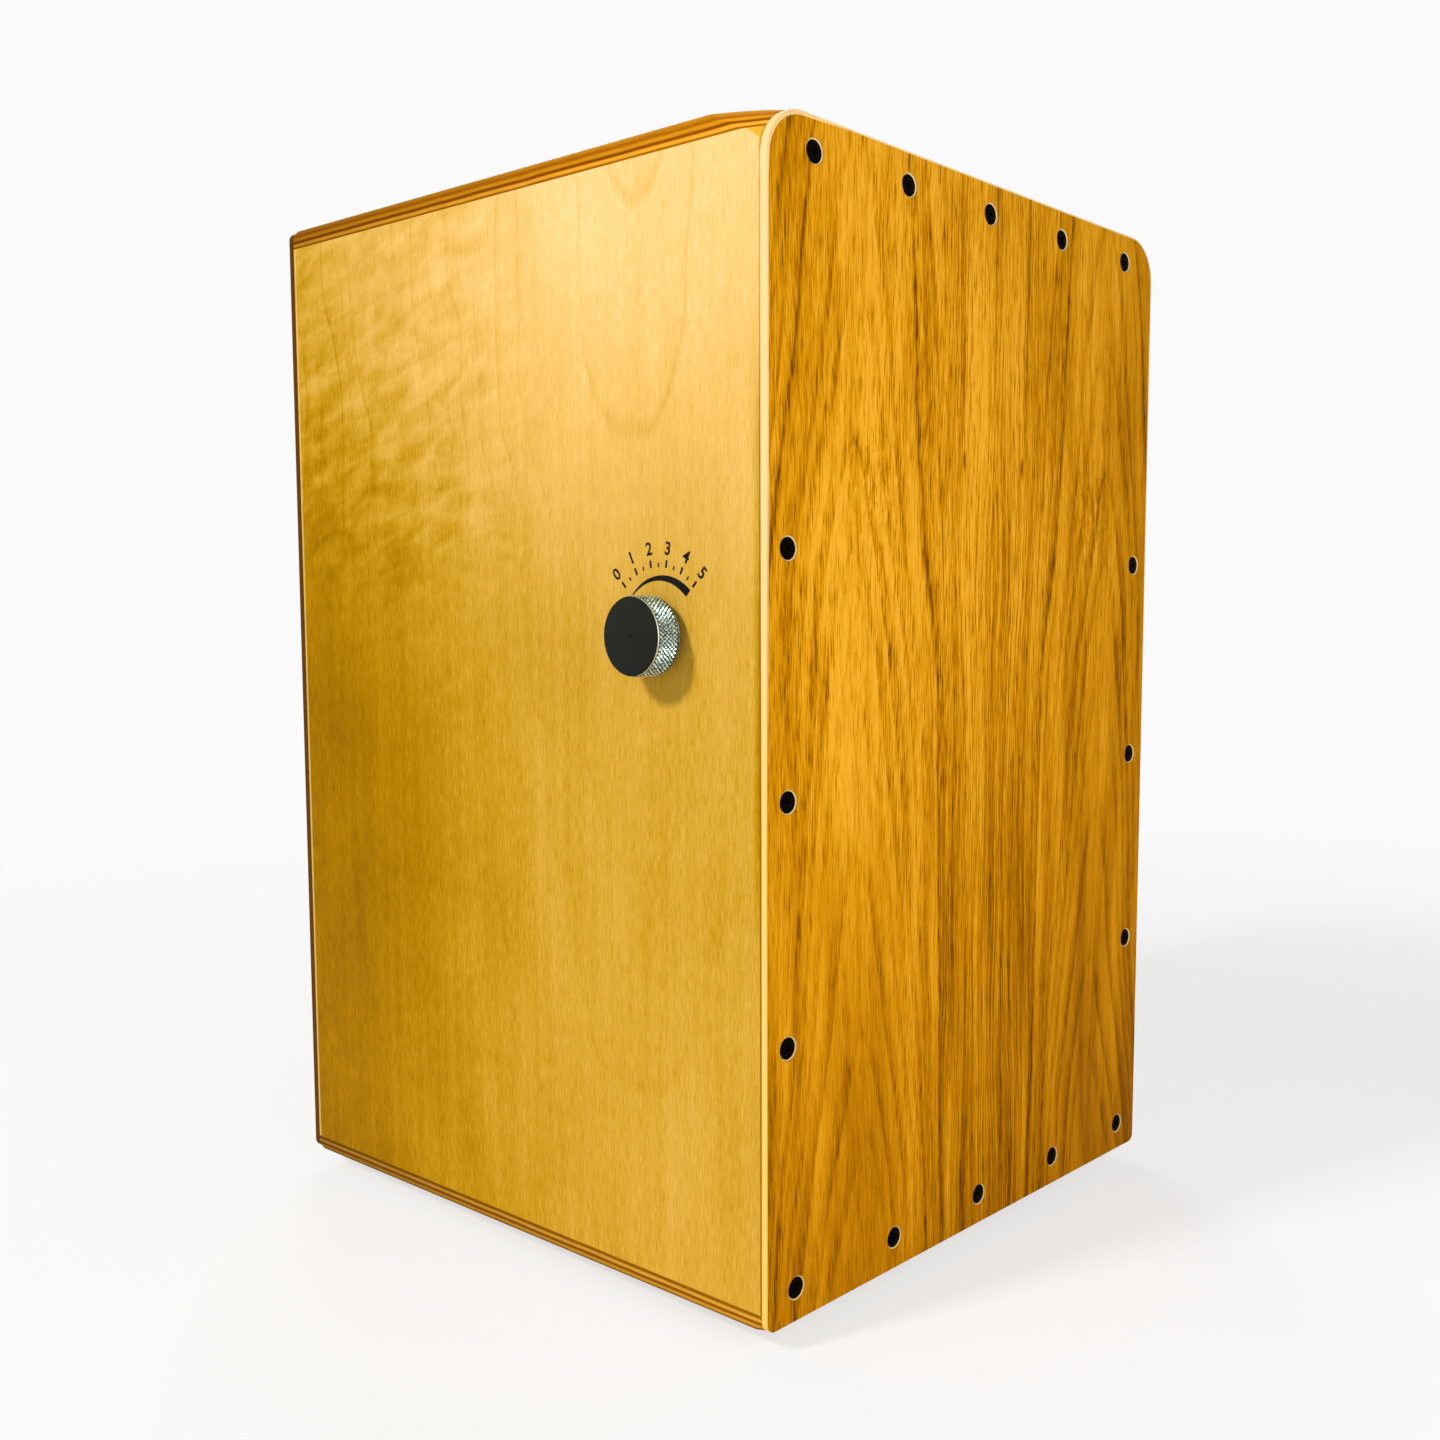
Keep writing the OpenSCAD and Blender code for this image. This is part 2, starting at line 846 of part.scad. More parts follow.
module end_pin() {
    start_x = dowel_end_x - spindle_hold;
    color(zinc_metal)
        difference() {
            on_shaft(start_x)
                cylinder(r = spindle_r, h = block_x + block_bore_depth - end_gap - start_x);
            cross_pin_holes();
        }
}

// A frame at the middle of a snare: Y along the strands, Z out of the dowel's flat
module on_snare(x) {
    translate([x, axis_y, axis_z])
        rotate([180 - snare_lean, 0, 0])
            children();
}

// Places what follows at the two clamp screws of a snare
module at_clamp_screws() {
    for (x = [-clamp_screw_x, clamp_screw_x])
        translate([x, 0, 0])
            children();
}

module snare_dowel() {
    pin_hole_r = spindle_r + screw_clearance;
    color(batten_pine)
        difference() {
            on_shaft(dowel_start_x)
                cylinder(r = dowel_r, h = dowel_end_x - dowel_start_x);
            on_snare(0)
                translate([-half_width, -dowel_d, dowel_flat])
                    cube([body_width, 2 * dowel_d, dowel_d]);
            on_shaft(dowel_start_x - past)
                cylinder(r = pin_hole_r, h = spindle_hold + past);
            on_shaft(dowel_end_x - spindle_hold)
                cylinder(r = pin_hole_r, h = spindle_hold + past);
            cross_pin_holes();
            for (x = [-snare_offset, snare_offset])
                on_snare(x)
                    at_clamp_screws()
                        translate([0, 0, dowel_flat - clamp_screw_bite - hole_spare])
                            cylinder(r = clamp_screw_r + screw_clearance, h = dowel_d);
        }
}

module clamp_screw_holes() {
    at_clamp_screws()
        cylinder(r = clamp_screw_r + screw_clearance, h = clamp_top + past);
}

// A row of strands between a root strip, which lies on the dowel's flat, and a tip strip
module snare(x) {
    color(brass_metal)
        on_snare(x)
            difference() {
                union() {
                    translate([-strip_width / 2, -flat_half, dowel_flat])
                        cube([strip_width, flat_half + strip_end_y, strip_thickness]);
                    translate([-strip_width / 2, snare_end_y - tip_length, dowel_flat])
                        cube([strip_width, tip_length, strip_thickness]);
                    for (i = [0 : snare_strands - 1])
                        translate([(i - (snare_strands - 1) / 2) * strand_pitch, strand_start_y, strand_z])
                            rotate([-90, 0, 0])
                                cylinder(r = strand_r, h = snare_end_y - strand_start_y - strand_r, $fn = 24);
                }
                clamp_screw_holes();
            }
}

module left_snare() {
    snare(-snare_offset);
}

module right_snare() {
    snare(snare_offset);
}

module clamp(x) {
    color(zinc_metal)
        on_snare(x)
            difference() {
                translate([-strip_width / 2, -flat_half, strip_top])
                    cube([strip_width, 2 * flat_half, clamp_thickness]);
                clamp_screw_holes();
            }
}

module left_clamp() {
    clamp(-snare_offset);
}

module right_clamp() {
    clamp(snare_offset);
}

module clamp_screws() {
    color(zinc_metal)
        for (x = [-snare_offset, snare_offset])
            on_snare(x)
                at_clamp_screws() {
                    translate([0, 0, dowel_flat - clamp_screw_bite])
                        cylinder(r = clamp_screw_r, h = clamp_top - dowel_flat + clamp_screw_bite);
                    translate([0, 0, clamp_top])
                        cylinder(d = clamp_head_d, h = clamp_head_height);
                }
}

top_panel();
bottom_panel();
left_side_panel();
right_side_panel();
back_panel();
tapa();
front_top_batten();
front_bottom_batten();
front_left_batten();
front_right_batten();
rear_top_batten();
rear_bottom_batten();
rear_left_batten();
rear_right_batten();
tapa_screws();
front_left_foot();
front_right_foot();
rear_left_foot();
rear_right_foot();
foot_washers();
foot_screws();
foot_nuts();
panel_bush();
bush_washer();
bush_nut();
bearing_block();
block_screws();
felt_washer();
knob_rim();
knob_cap();
knob_grub_screw();
knob_spindle();
snare_dowel();
end_pin();
cross_pins();
left_snare();
right_snare();
left_clamp();
right_clamp();
clamp_screws();
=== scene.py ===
"""The looks of a cajon: a birch box with a teak-faced tapa, black screws and a knob that turns the snare.

Metres in the part's own frame, +Z up: the tapa faces -Y and the knob is on the -X side.
Sizes inside the materials are millimetres, which start() makes of the object's own coordinates.
"""

import math

import bmesh
import bpy
from mathutils import Matrix, Vector


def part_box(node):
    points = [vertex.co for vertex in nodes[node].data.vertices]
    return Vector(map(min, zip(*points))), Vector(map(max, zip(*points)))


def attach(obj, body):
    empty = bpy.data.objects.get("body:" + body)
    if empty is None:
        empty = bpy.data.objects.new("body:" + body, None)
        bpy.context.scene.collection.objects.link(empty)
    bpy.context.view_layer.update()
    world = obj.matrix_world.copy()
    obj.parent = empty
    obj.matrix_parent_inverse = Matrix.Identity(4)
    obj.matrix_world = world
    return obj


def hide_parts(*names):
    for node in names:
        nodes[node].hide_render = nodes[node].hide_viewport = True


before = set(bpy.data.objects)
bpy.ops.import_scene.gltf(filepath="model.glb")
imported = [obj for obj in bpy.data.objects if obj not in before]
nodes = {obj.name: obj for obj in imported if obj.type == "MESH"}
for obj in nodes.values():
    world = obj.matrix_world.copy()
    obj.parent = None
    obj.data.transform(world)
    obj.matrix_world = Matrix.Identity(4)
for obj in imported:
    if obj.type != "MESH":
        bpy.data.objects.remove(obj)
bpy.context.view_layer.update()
scene = bpy.context.scene
MM = 0.001

# Places that the frame gives
tapa_low, tapa_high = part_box("tapa")
side_low, side_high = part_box("left_side_panel")
top_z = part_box("top_panel")[1].z
bottom_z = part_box("bottom_panel")[1].z
cap_low, cap_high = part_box("knob_cap")
rim_low, rim_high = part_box("knob_rim")
shaft = (cap_low + cap_high) / 2

MATH = "ShaderNodeMath"
VECTOR = "ShaderNodeVectorMath"
NOISE = "ShaderNodeTexNoise"
RAMP = "ShaderNodeValToRGB"
RANGE = "ShaderNodeMapRange"
MIX = "ShaderNodeMix"
JOIN = "ShaderNodeCombineXYZ"
SPLIT = "ShaderNodeSeparateXYZ"
PURITY = "ShaderNodeHueSaturation"
BUMP = "ShaderNodeBump"
SHADER = "ShaderNodeBsdfPrincipled"

# Settings that many nodes share
SMOOTH = {"interpolation_type": "SMOOTHSTEP"}
BLEND = {"give": 2, "data_type": "RGBA"}
LENGTH = {"give": "Value", "operation": "LENGTH"}

# The part of a noise's range that holds nearly all of it, most of it, much of it, and its middle
NEARLY_ALL = (0.2, 0.8)
MOST = (0.25, 0.75)
MUCH = (0.3, 0.7)
MIDDLE = (0.35, 0.65)


def tint(code):
    """An sRGB hex colour as linear RGBA."""
    shares = [int(code[i : i + 2], 16) / 255 for i in (1, 3, 5)]
    linear = [s / 12.92 if s <= 0.04045 else ((s + 0.055) / 1.055) ** 2.4 for s in shares]
    return (*linear, 1.0)


def grey(share):
    return (share, share, share, 1.0)


def add(tree, kind, inputs=None, give=0, size=None, span=None, stops=None, **settings):
    """Adds a node and gives one of its outputs, or all of them where give is None.

    An input takes a value, a link, or a list of links. size divides a pattern's Vector, so that the pattern
    has that size along X, Y and Z. span holds the two ends that a value runs between, and what they become.
    stops are a ramp's places and colours.
    """
    made = tree.nodes.new(kind)
    inputs = dict(inputs or {})
    if size:
        shares = [1 / s for s in size]
        inputs["Vector"] = add(tree, "ShaderNodeMapping", {"Vector": inputs["Vector"], "Scale": shares})
        inputs["Scale"] = 1.0
    if span:
        inputs.update(enumerate(span, 1))
    for name, value in settings.items():
        setattr(made, name, value)
    for key, value in inputs.items():
        links = value if isinstance(value, list) else [value]
        if isinstance(links[0], bpy.types.NodeSocket):
            for link in links:
                tree.links.new(link, made.inputs[key])
        else:
            made.inputs[key].default_value = value
    if stops:
        elements = made.color_ramp.elements
        elements.remove(elements[1])
        elements[0].position, elements[0].color = stops[0]
        for position, tone in stops[1:]:
            elements.new(position).color = tone
    return made.outputs if give is None or not len(made.outputs) else made.outputs[give]


def start(name):
    """A material with an empty tree, and the object's own coordinates in millimetres."""
    material = bpy.data.materials.new(name)
    material.use_nodes = True
    tree = material.node_tree
    tree.nodes.clear()
    where = add(tree, "ShaderNodeTexCoord", give="Object")
    place = add(tree, "ShaderNodeMapping", {"Vector": where, "Scale": (1 / MM, 1 / MM, 1 / MM)})
    return material, tree, place


def coat(tree, inputs):
    """Ends a material's tree with one surface."""
    shader = add(tree, SHADER, inputs)
    add(tree, "ShaderNodeOutputMaterial", {"Surface": shader})


# Lacquer

AMBER = tint("#FFC24A")
LACQUER_SHINE = 0.01
WOOD_IOR = 1.5


def satin_lacquer(tree, colour, height, roughness, strength, dent, sunk=False):
    """Satin lacquer over wood: a soft broad amber gloss, over pores or fibres that can just be felt."""
    dents = add(tree, BUMP, {"Strength": strength, "Distance": dent * MM, "Height": height}, invert=sunk)
    coat(
        tree,
        {
            "Base Color": colour, "Roughness": roughness, "Specular IOR Level": LACQUER_SHINE,
            "Specular Tint": AMBER, "IOR": WOOD_IOR, "Normal": dents,
        },
    )


# Teak, on the tapa: tones run from 0, the darkest, to 1, and each shift is added to them

SEAM_X = 4.5
LEAF_ROW = 4.0
HEART_FROM_SEAM = 99.0
HEART_SWAY = (-9.0, 6.0)
HEART_WAVER = 3.0
ARCH_MIDDLE_Z = 250.0
ARCH_DROP = 0.45
ARCH_POWER = 1.7
TAPA_RING = 28.0
RING_PACE = 110.0
# Heights at which rings with a dark side cross the heart, and how dark each is
DARK_RINGS = {
    -175.0: 0.5, -128.0: 0.7, -51.0: 0.75, 20.0: 0.4, 80.0: 0.8, 125.0: 0.9, 190.0: 0.6, 250.0: 0.6,
    395.0: 0.9, 470.0: 0.35, 560.0: 0.3, 700.0: 0.5, 820.0: 0.4,
}
# Heights between which the figure grows clear
FIGURE_Z = (120.0, 330.0)
# Tone, the veneer's own and partly painted shade of light falling off to the right, and strength of grain,
# from the left edge to the right
TAPA_TONE = [(0.0, grey(0.93)), (0.3, grey(0.92)), (0.4, grey(0.86)), (0.65, grey(0.81)), (1.0, grey(0.70))]
TAPA_GRAIN = [(0.0, grey(0.8)), (0.45, grey(1.0)), (1.0, grey(0.4))]
TOP_TONE = 0.84
STREAK_SHIFT = (-0.24, 0.21)
BROAD_SHIFT = (-0.24, 0.22)
THREAD_SHIFT = (-0.26, 0.18)
GRAIN_SHIFT = (0.26, -0.32)
LINE_SHIFT = (-0.18, -0.46)
PORE_SHIFT = (-0.10, -0.42)
PORE_SHIFT_IN_SHADE = -0.20
RIPPLE_SHIFT = (-0.22, 0.10)
SPLIT_SHIFT = -0.6
# Places from the seam and the floor, and half sizes
FLECK = (23.6, 374.0)
FLECK_HALF = (1.3, 5.5)
MOTTLE = (88.0, 355.0)
MOTTLE_HALF = (26.0, 40.0)
# Places across the tapa
FOOT_X = -103.0
SPLIT_X = -134.0
SPLIT_HALF = 0.35
SPLIT_TOP = 19.0
TEAK_TONES = [
    (0.0, tint("#5A3300")), (0.25, tint("#935700")), (0.5, tint("#C07B00")),
    (0.75, tint("#E0980E")), (1.0, tint("#F6B12E")),
]


def teak_arches(tree, across, z, spot):
    """Arches round an upright heart, each measured by the height at which it crosses the heart.

    Gives the distance from the heart, with its sign and without, that height, and the arch's steepness.
    """
    drift = add(tree, NOISE, {"Vector": spot, "Detail": 1.0}, size=(60, 40, 220))
    waver = add(tree, NOISE, {"Vector": spot, "Detail": 2.0}, size=(8, 40, 34))
    sway = add(tree, RANGE, {0: drift}, span=(*NEARLY_ALL, *HEART_SWAY))
    sway = add(tree, MATH, {0: waver, 1: HEART_WAVER, 2: sway}, operation="MULTIPLY_ADD")
    off_heart = add(tree, MATH, {0: across, 1: HEART_FROM_SEAM}, operation="SUBTRACT")
    off_heart = add(tree, MATH, {0: off_heart, 1: sway}, operation="ADD")
    beside = add(tree, MATH, {0: off_heart}, operation="ABSOLUTE")
    lift = add(tree, RANGE, {0: beside}, span=(40.0, 75.0, 1.0, 0.3), **SMOOTH)
    above = add(tree, MATH, {0: z, 1: ARCH_MIDDLE_Z}, operation="SUBTRACT")
    above = add(tree, MATH, {0: above, 1: lift}, operation="MULTIPLY")
    drop = add(tree, MATH, {0: beside, 1: ARCH_POWER}, operation="POWER")
    reach = add(tree, MATH, {0: drop, 1: ARCH_DROP, 2: above}, operation="MULTIPLY_ADD")
    slope = add(tree, MATH, {0: beside, 1: ARCH_POWER - 1}, operation="POWER")
    slope = add(tree, MATH, {0: slope, 1: ARCH_DROP * ARCH_POWER}, operation="MULTIPLY")
    steep = add(tree, MATH, {0: slope, 1: slope, 2: 1.0}, operation="MULTIPLY_ADD")
    steep = add(tree, MATH, {0: steep}, operation="SQRT")
    return off_heart, beside, reach, steep


def teak_year_lines(tree, reach, steep, far, clear):
    """Thin lines along the arches, each as strong as chance makes it."""
    pace = add(tree, NOISE, {"W": reach, "Scale": 1 / RING_PACE, "Detail": 1.0}, noise_dimensions="1D")
    turns = add(tree, MATH, {0: reach, 1: 1 / TAPA_RING, 2: pace}, operation="MULTIPLY_ADD")
    ring = add(tree, MATH, {0: turns}, operation="ROUND")
    chance = add(tree, "ShaderNodeTexWhiteNoise", {"W": ring}, noise_dimensions="1D")
    force = add(tree, MATH, {0: chance, 1: 1.8}, operation="POWER")
    plain = add(tree, RANGE, {0: far}, span=(0.0, 1.0, 0.3, 0.6))
    for part in (plain, clear):
        force = add(tree, MATH, {0: force, 1: part}, operation="MULTIPLY")
    aside = add(tree, MATH, {0: turns, 1: ring}, operation="SUBTRACT")
    aside = add(tree, MATH, {0: aside}, operation="ABSOLUTE")
    aside = add(tree, MATH, {0: aside, 1: TAPA_RING}, operation="MULTIPLY")
    aside = add(tree, MATH, {0: aside, 1: steep}, operation="DIVIDE")
    line = add(tree, RANGE, {0: aside}, span=(0.1, 1.1, 1.0, 0.0), **SMOOTH)
    return add(tree, MATH, {0: line, 1: force}, operation="MULTIPLY")


def teak_shades(tree, reach, steep, beside, z):
    """Shades that start at some rings, fade outwards, and are lost where the ring crosses the heart."""
    shade = 0.0
    for dark_ring, strength in DARK_RINGS.items():
        outside = add(tree, MATH, {0: reach, 1: dark_ring}, operation="SUBTRACT")
        outside = add(tree, MATH, {0: outside, 1: steep}, operation="DIVIDE")
        rise = add(tree, RANGE, {0: outside}, span=(-1.0, 0.6, 0.0, strength), **SMOOTH)
        fall = add(tree, RANGE, {0: outside}, span=(0.6, 7.0, 1.0, 0.0), **SMOOTH)
        band = add(tree, MATH, {0: rise, 1: fall}, operation="MULTIPLY")
        shade = add(tree, MATH, {0: shade, 1: band}, operation="MAXIMUM")
    flank = add(tree, RANGE, {0: beside}, span=(3.0, 16.0, 0.45, 1.0), **SMOOTH)
    soft = add(tree, RANGE, {0: z}, span=(*FIGURE_Z, 0.85, 1.0), **SMOOTH)
    for part in (flank, soft):
        shade = add(tree, MATH, {0: shade, 1: part}, operation="MULTIPLY")
    return shade


def from_oval(tree, spot, middle, half):
    """The distance from an oval's middle, in shares of its half sizes."""
    away = add(tree, VECTOR, {0: spot, 1: (middle[0], 0, middle[1])}, operation="SUBTRACT")
    away = add(tree, VECTOR, {0: away, 1: (1 / half[0], 0, 1 / half[1])}, operation="MULTIPLY")
    return add(tree, VECTOR, {0: away}, **LENGTH)


def teak_figure(tree, place):
    """Teak leaves opened like a book at a seam: upright streaks and pores, and a few thin pointed arches.

    Gives the colour and the height of the lacquered face.
    """
    x, y, z = add(tree, SPLIT, {"Vector": place}, give=None)
    from_seam = add(tree, MATH, {0: x, 1: SEAM_X}, operation="SUBTRACT")
    leaf = add(tree, MATH, {0: from_seam}, operation="SIGN")
    across = add(tree, MATH, {0: from_seam}, operation="ABSOLUTE")
    leaf_row = add(tree, MATH, {0: leaf, 1: LEAF_ROW}, operation="MULTIPLY")
    spot = add(tree, JOIN, {"X": across, "Y": leaf_row, "Z": z})

    # The grain is faint low down and to the right
    share = add(tree, RANGE, {0: x}, span=(tapa_low.x / MM, tapa_high.x / MM, 0.0, 1.0))
    fine = add(tree, RAMP, {"Fac": share}, stops=TAPA_GRAIN)
    clear = add(tree, RANGE, {0: z}, span=(*FIGURE_Z, 0.5, 1.0), **SMOOTH)
    fine = add(tree, MATH, {0: fine, 1: clear}, operation="MULTIPLY")

    off_heart, beside, reach, steep = teak_arches(tree, across, z, spot)
    far = add(tree, RANGE, {0: beside}, span=(12.0, 50.0, 0.0, 1.0), **SMOOTH)
    line = teak_year_lines(tree, reach, steep, far, clear)
    shade = teak_shades(tree, reach, steep, beside, z)

    # Streaks: upright by the heart, along the rings far from it
    upright = add(tree, JOIN, {"X": off_heart, "Y": leaf_row, "Z": z})
    ringed = add(tree, JOIN, {"X": reach, "Y": leaf_row, "Z": z})
    broad = add(tree, NOISE, {"Vector": upright, "Detail": 2.0}, size=(15, 40, 260))
    broad = add(tree, RANGE, {0: broad}, span=(*MOST, *BROAD_SHIFT))
    near = add(tree, NOISE, {"Vector": upright, "Detail": 4.0, "Roughness": 0.6}, size=(4.2, 40, 90))
    along = add(tree, NOISE, {"Vector": ringed, "Detail": 3.0, "Roughness": 0.6}, size=(60, 40, 190))
    streak = add(tree, MIX, {0: far, 2: near, 3: along})
    streak = add(tree, RANGE, {0: streak}, span=(*MOST, *STREAK_SHIFT))

    # Threads: long thin lines by the seam
    thread = add(tree, NOISE, {"Vector": upright, "Detail": 2.0}, size=(1.2, 40, 90))
    thread = add(tree, RANGE, {0: thread}, span=(*MUCH, *THREAD_SHIFT))
    by_seam = add(tree, RANGE, {0: across}, span=(25.0, 60.0, 1.0, 0.0), **SMOOTH)

    # Pores: upright dashes that crowd in some places, drawn some four times as wide as real ones, to show
    crowd = add(tree, NOISE, {"Vector": upright, "Detail": 2.0}, size=(16, 40, 110))
    crowd = add(tree, RANGE, {0: crowd}, span=(*MIDDLE, *PORE_SHIFT))
    crowd = add(tree, MATH, {0: shade, 1: PORE_SHIFT_IN_SHADE, 2: crowd}, operation="MULTIPLY_ADD")
    crowd = add(tree, MATH, {0: crowd, 1: fine}, operation="MULTIPLY")
    dash = add(tree, NOISE, {"Vector": spot, "Detail": 3.0, "Roughness": 0.65}, size=(0.8, 40, 14))
    pore = add(tree, RANGE, {0: dash}, span=(0.52, 0.74, 0.0, 1.0), **SMOOTH)
    grain = add(tree, RANGE, {0: dash}, span=(*MUCH, *GRAIN_SHIFT))
    broken = add(tree, RANGE, {0: dash}, span=(0.3, 0.65, *LINE_SHIFT))

    # Mottled wood above an arch of each leaf
    mottled = from_oval(tree, spot, MOTTLE, MOTTLE_HALF)
    mottled = add(tree, RANGE, {0: mottled}, span=(0.3, 1.0, 1.0, 0.0), **SMOOTH)
    ripple = add(tree, NOISE, {"Vector": spot, "Detail": 2.0, "Distortion": 0.8}, size=(2.4, 40, 6.5))
    ripple = add(tree, RANGE, {0: ripple}, span=(*MIDDLE, *RIPPLE_SHIFT))

    # Broad tones: paler to the left and darker low down, partly the veneer's own tone and partly painted
    # shade where the light falls off; evened out at the top, darker at the left edge and in places
    tone = add(tree, RAMP, {"Fac": share}, stops=TAPA_TONE)
    evened = add(tree, RANGE, {0: z}, span=(330.0, 470.0, 0.0, 0.65), **SMOOTH)
    tone = add(tree, MIX, {0: evened, 2: tone, 3: TOP_TONE})
    low = add(tree, RANGE, {0: z}, span=(60.0, 340.0, -0.20, 0.04), **SMOOTH)
    left_edge = add(tree, RANGE, {0: share}, span=(0.0, 0.08, -0.18, 0.0))
    foot = add(tree, RANGE, {0: z}, span=(20.0, 240.0, -0.22, 0.0))
    to_foot = add(tree, MATH, {0: x, 1: FOOT_X}, operation="SUBTRACT")
    to_foot = add(tree, MATH, {0: to_foot}, operation="ABSOLUTE")
    by_foot = add(tree, RANGE, {0: to_foot}, span=(6.0, 36.0, 1.0, 0.0), **SMOOTH)
    corner = add(tree, RANGE, {0: z}, span=(420.0, 490.0, 0.0, -0.34))
    by_corner = add(tree, RANGE, {0: share}, span=(0.0, 0.14, 1.0, 0.0))
    middle = add(tree, RANGE, {0: across}, span=(0.0, 40.0, -0.06, 0.0), **SMOOTH)

    # The seam, a pair of flecks that the leaves share, and a short split below a corner screw
    seam = add(tree, RANGE, {0: across}, span=(0.2, 0.6, -0.14, 0.0))
    fleck = from_oval(tree, spot, FLECK, FLECK_HALF)
    fleck = add(tree, RANGE, {0: fleck}, span=(0.4, 1.1, -0.6, 0.0))
    by_split = add(tree, MATH, {0: x, 1: SPLIT_X, 2: SPLIT_HALF}, operation="COMPARE")
    below_split = add(tree, MATH, {0: z, 1: SPLIT_TOP}, operation="LESS_THAN")
    split = add(tree, MATH, {0: by_split, 1: below_split}, operation="MULTIPLY")

    for part in (low, broad, left_edge):
        tone = add(tree, MATH, {0: tone, 1: part}, operation="ADD")
    marks = (
        (line, broken), (shade, broken), (streak, clear), (thread, by_seam), (pore, crowd), (grain, fine),
        (mottled, ripple), (leaf, middle), (foot, by_foot), (corner, by_corner), (split, SPLIT_SHIFT),
    )
    for part, weight in marks:
        tone = add(tree, MATH, {0: part, 1: weight, 2: tone}, operation="MULTIPLY_ADD")
    for part in (seam, fleck):
        tone = add(tree, MATH, {0: tone, 1: part}, operation="ADD")
    colour = add(tree, RAMP, {"Fac": tone}, stops=TEAK_TONES)
    return colour, pore


# Colours of the tapa's core from its face to its back: the dark colour at the back is the glue line along
# the side panels, partly painted shade in the gap between the parts
TAPA_CORE = [
    (0.0, tint("#B47A1C")), (0.05, tint("#C08A2C")), (0.16, tint("#F0C270")), (0.26, tint("#FBD590")),
    (0.86, tint("#FBD590")), (0.94, tint("#B8821E")),
]
FACE_DEPTH = 0.06
EDGE_STRIP = 5.0
EDGE_WEAR = 0.7
CORNER_WEAR = 1.3
TAPA_CORNER = 20.0


def teak_faced_ply():
    """Teak veneer on a pale ply core, satin lacquer: golden figure, cream where the core is bare."""
    material, tree, place = start("teak_faced_ply")
    face, pores = teak_figure(tree, place)
    x, y, z = add(tree, SPLIT, {"Vector": place}, give=None)
    depth = add(tree, MATH, {0: y, 1: tapa_low.y / MM}, operation="SUBTRACT")
    deep = add(tree, MATH, {0: depth, 1: (tapa_high.y - tapa_low.y) / MM}, operation="DIVIDE")
    core = add(tree, RAMP, {"Fac": deep}, stops=TAPA_CORE)
    pure = add(tree, RANGE, {0: z}, span=(10.0, 450.0, 1.2, 1.0))
    core = add(tree, PURITY, {"Color": core, "Saturation": pure})

    # The countersinks bare a paler core than the edges do
    beside = add(tree, MATH, {0: x}, operation="ABSOLUTE")
    inner = add(tree, MATH, {0: beside, 1: tapa_high.x / MM - EDGE_STRIP}, operation="LESS_THAN")
    bared = add(tree, RANGE, {0: depth}, span=(0.2, 0.45, 0.0, 0.7))
    bared = add(tree, MATH, {0: bared, 1: inner}, operation="MULTIPLY")
    core = add(tree, MIX, {0: bared, 6: core, 7: tint("#F6DBAA")}, **BLEND)
    cut = add(tree, MATH, {0: depth, 1: FACE_DEPTH}, operation="GREATER_THAN")
    colour = add(tree, MIX, {0: cut, 6: face, 7: core}, **BLEND)

    # The veneer is worn through along the upper edges, and most at the top corner on the knob's side
    wear = add(tree, RANGE, {0: z}, span=(200.0, 330.0, 0.0, EDGE_WEAR))
    more = add(tree, RANGE, {0: z}, span=(470.0, 495.0, 0.0, CORNER_WEAR))
    by_corner = add(tree, RANGE, {0: x}, span=(-135.0, -100.0, 1.0, 0.0))
    wear = add(tree, MATH, {0: more, 1: by_corner, 2: wear}, operation="MULTIPLY_ADD")
    corner = (tapa_high.x / MM - TAPA_CORNER, 0, tapa_high.z / MM - TAPA_CORNER)
    outwards = add(tree, JOIN, {"X": beside, "Z": z})
    outwards = add(tree, VECTOR, {0: outwards, 1: corner}, operation="SUBTRACT")
    outwards = add(tree, VECTOR, {0: outwards}, operation="MAXIMUM")
    reach = add(tree, VECTOR, {0: outwards}, **LENGTH)
    reach = add(tree, MATH, {0: reach, 1: wear}, operation="ADD")
    worn = add(tree, MATH, {0: reach, 1: TAPA_CORNER}, operation="GREATER_THAN")
    fade = add(tree, RANGE, {0: z}, span=(200.0, 400.0, 0.0, 0.85), **SMOOTH)
    worn = add(tree, MATH, {0: worn, 1: fade}, operation="MULTIPLY")
    colour = add(tree, MIX, {0: worn, 6: colour, 7: tint("#FFDA98")}, **BLEND)
    satin_lacquer(tree, colour, pores, 0.42, 0.25, 0.1, sunk=True)
    return material


# Birch, on the box: tones run from ochre, 0, to cream, 1

BIRCH_TONES = [
    (0.0, tint("#8A5E00")), (0.2, tint("#B07E00")), (0.32, tint("#C49416")), (0.45, tint("#D6A63C")),
    (0.7, tint("#EFC067")), (1.0, tint("#FDE3A2")),
]
BIRCH_RING = 15.0
BIRCH_DRIFT = 70.0
BIRCH_LEAN = -0.16
BIRCH_HEART_RISE = 120.0
CLOUD_SWING = 0.065
STREAK_SWING = 0.04
FIBRE_SWING = 0.15
# The strength of a ring's line over the ring's width
BIRCH_LINE = [(0.0, grey(0.0)), (0.55, grey(0.05)), (0.88, grey(0.35)), (0.95, grey(1.0)), (1.0, grey(0.0))]


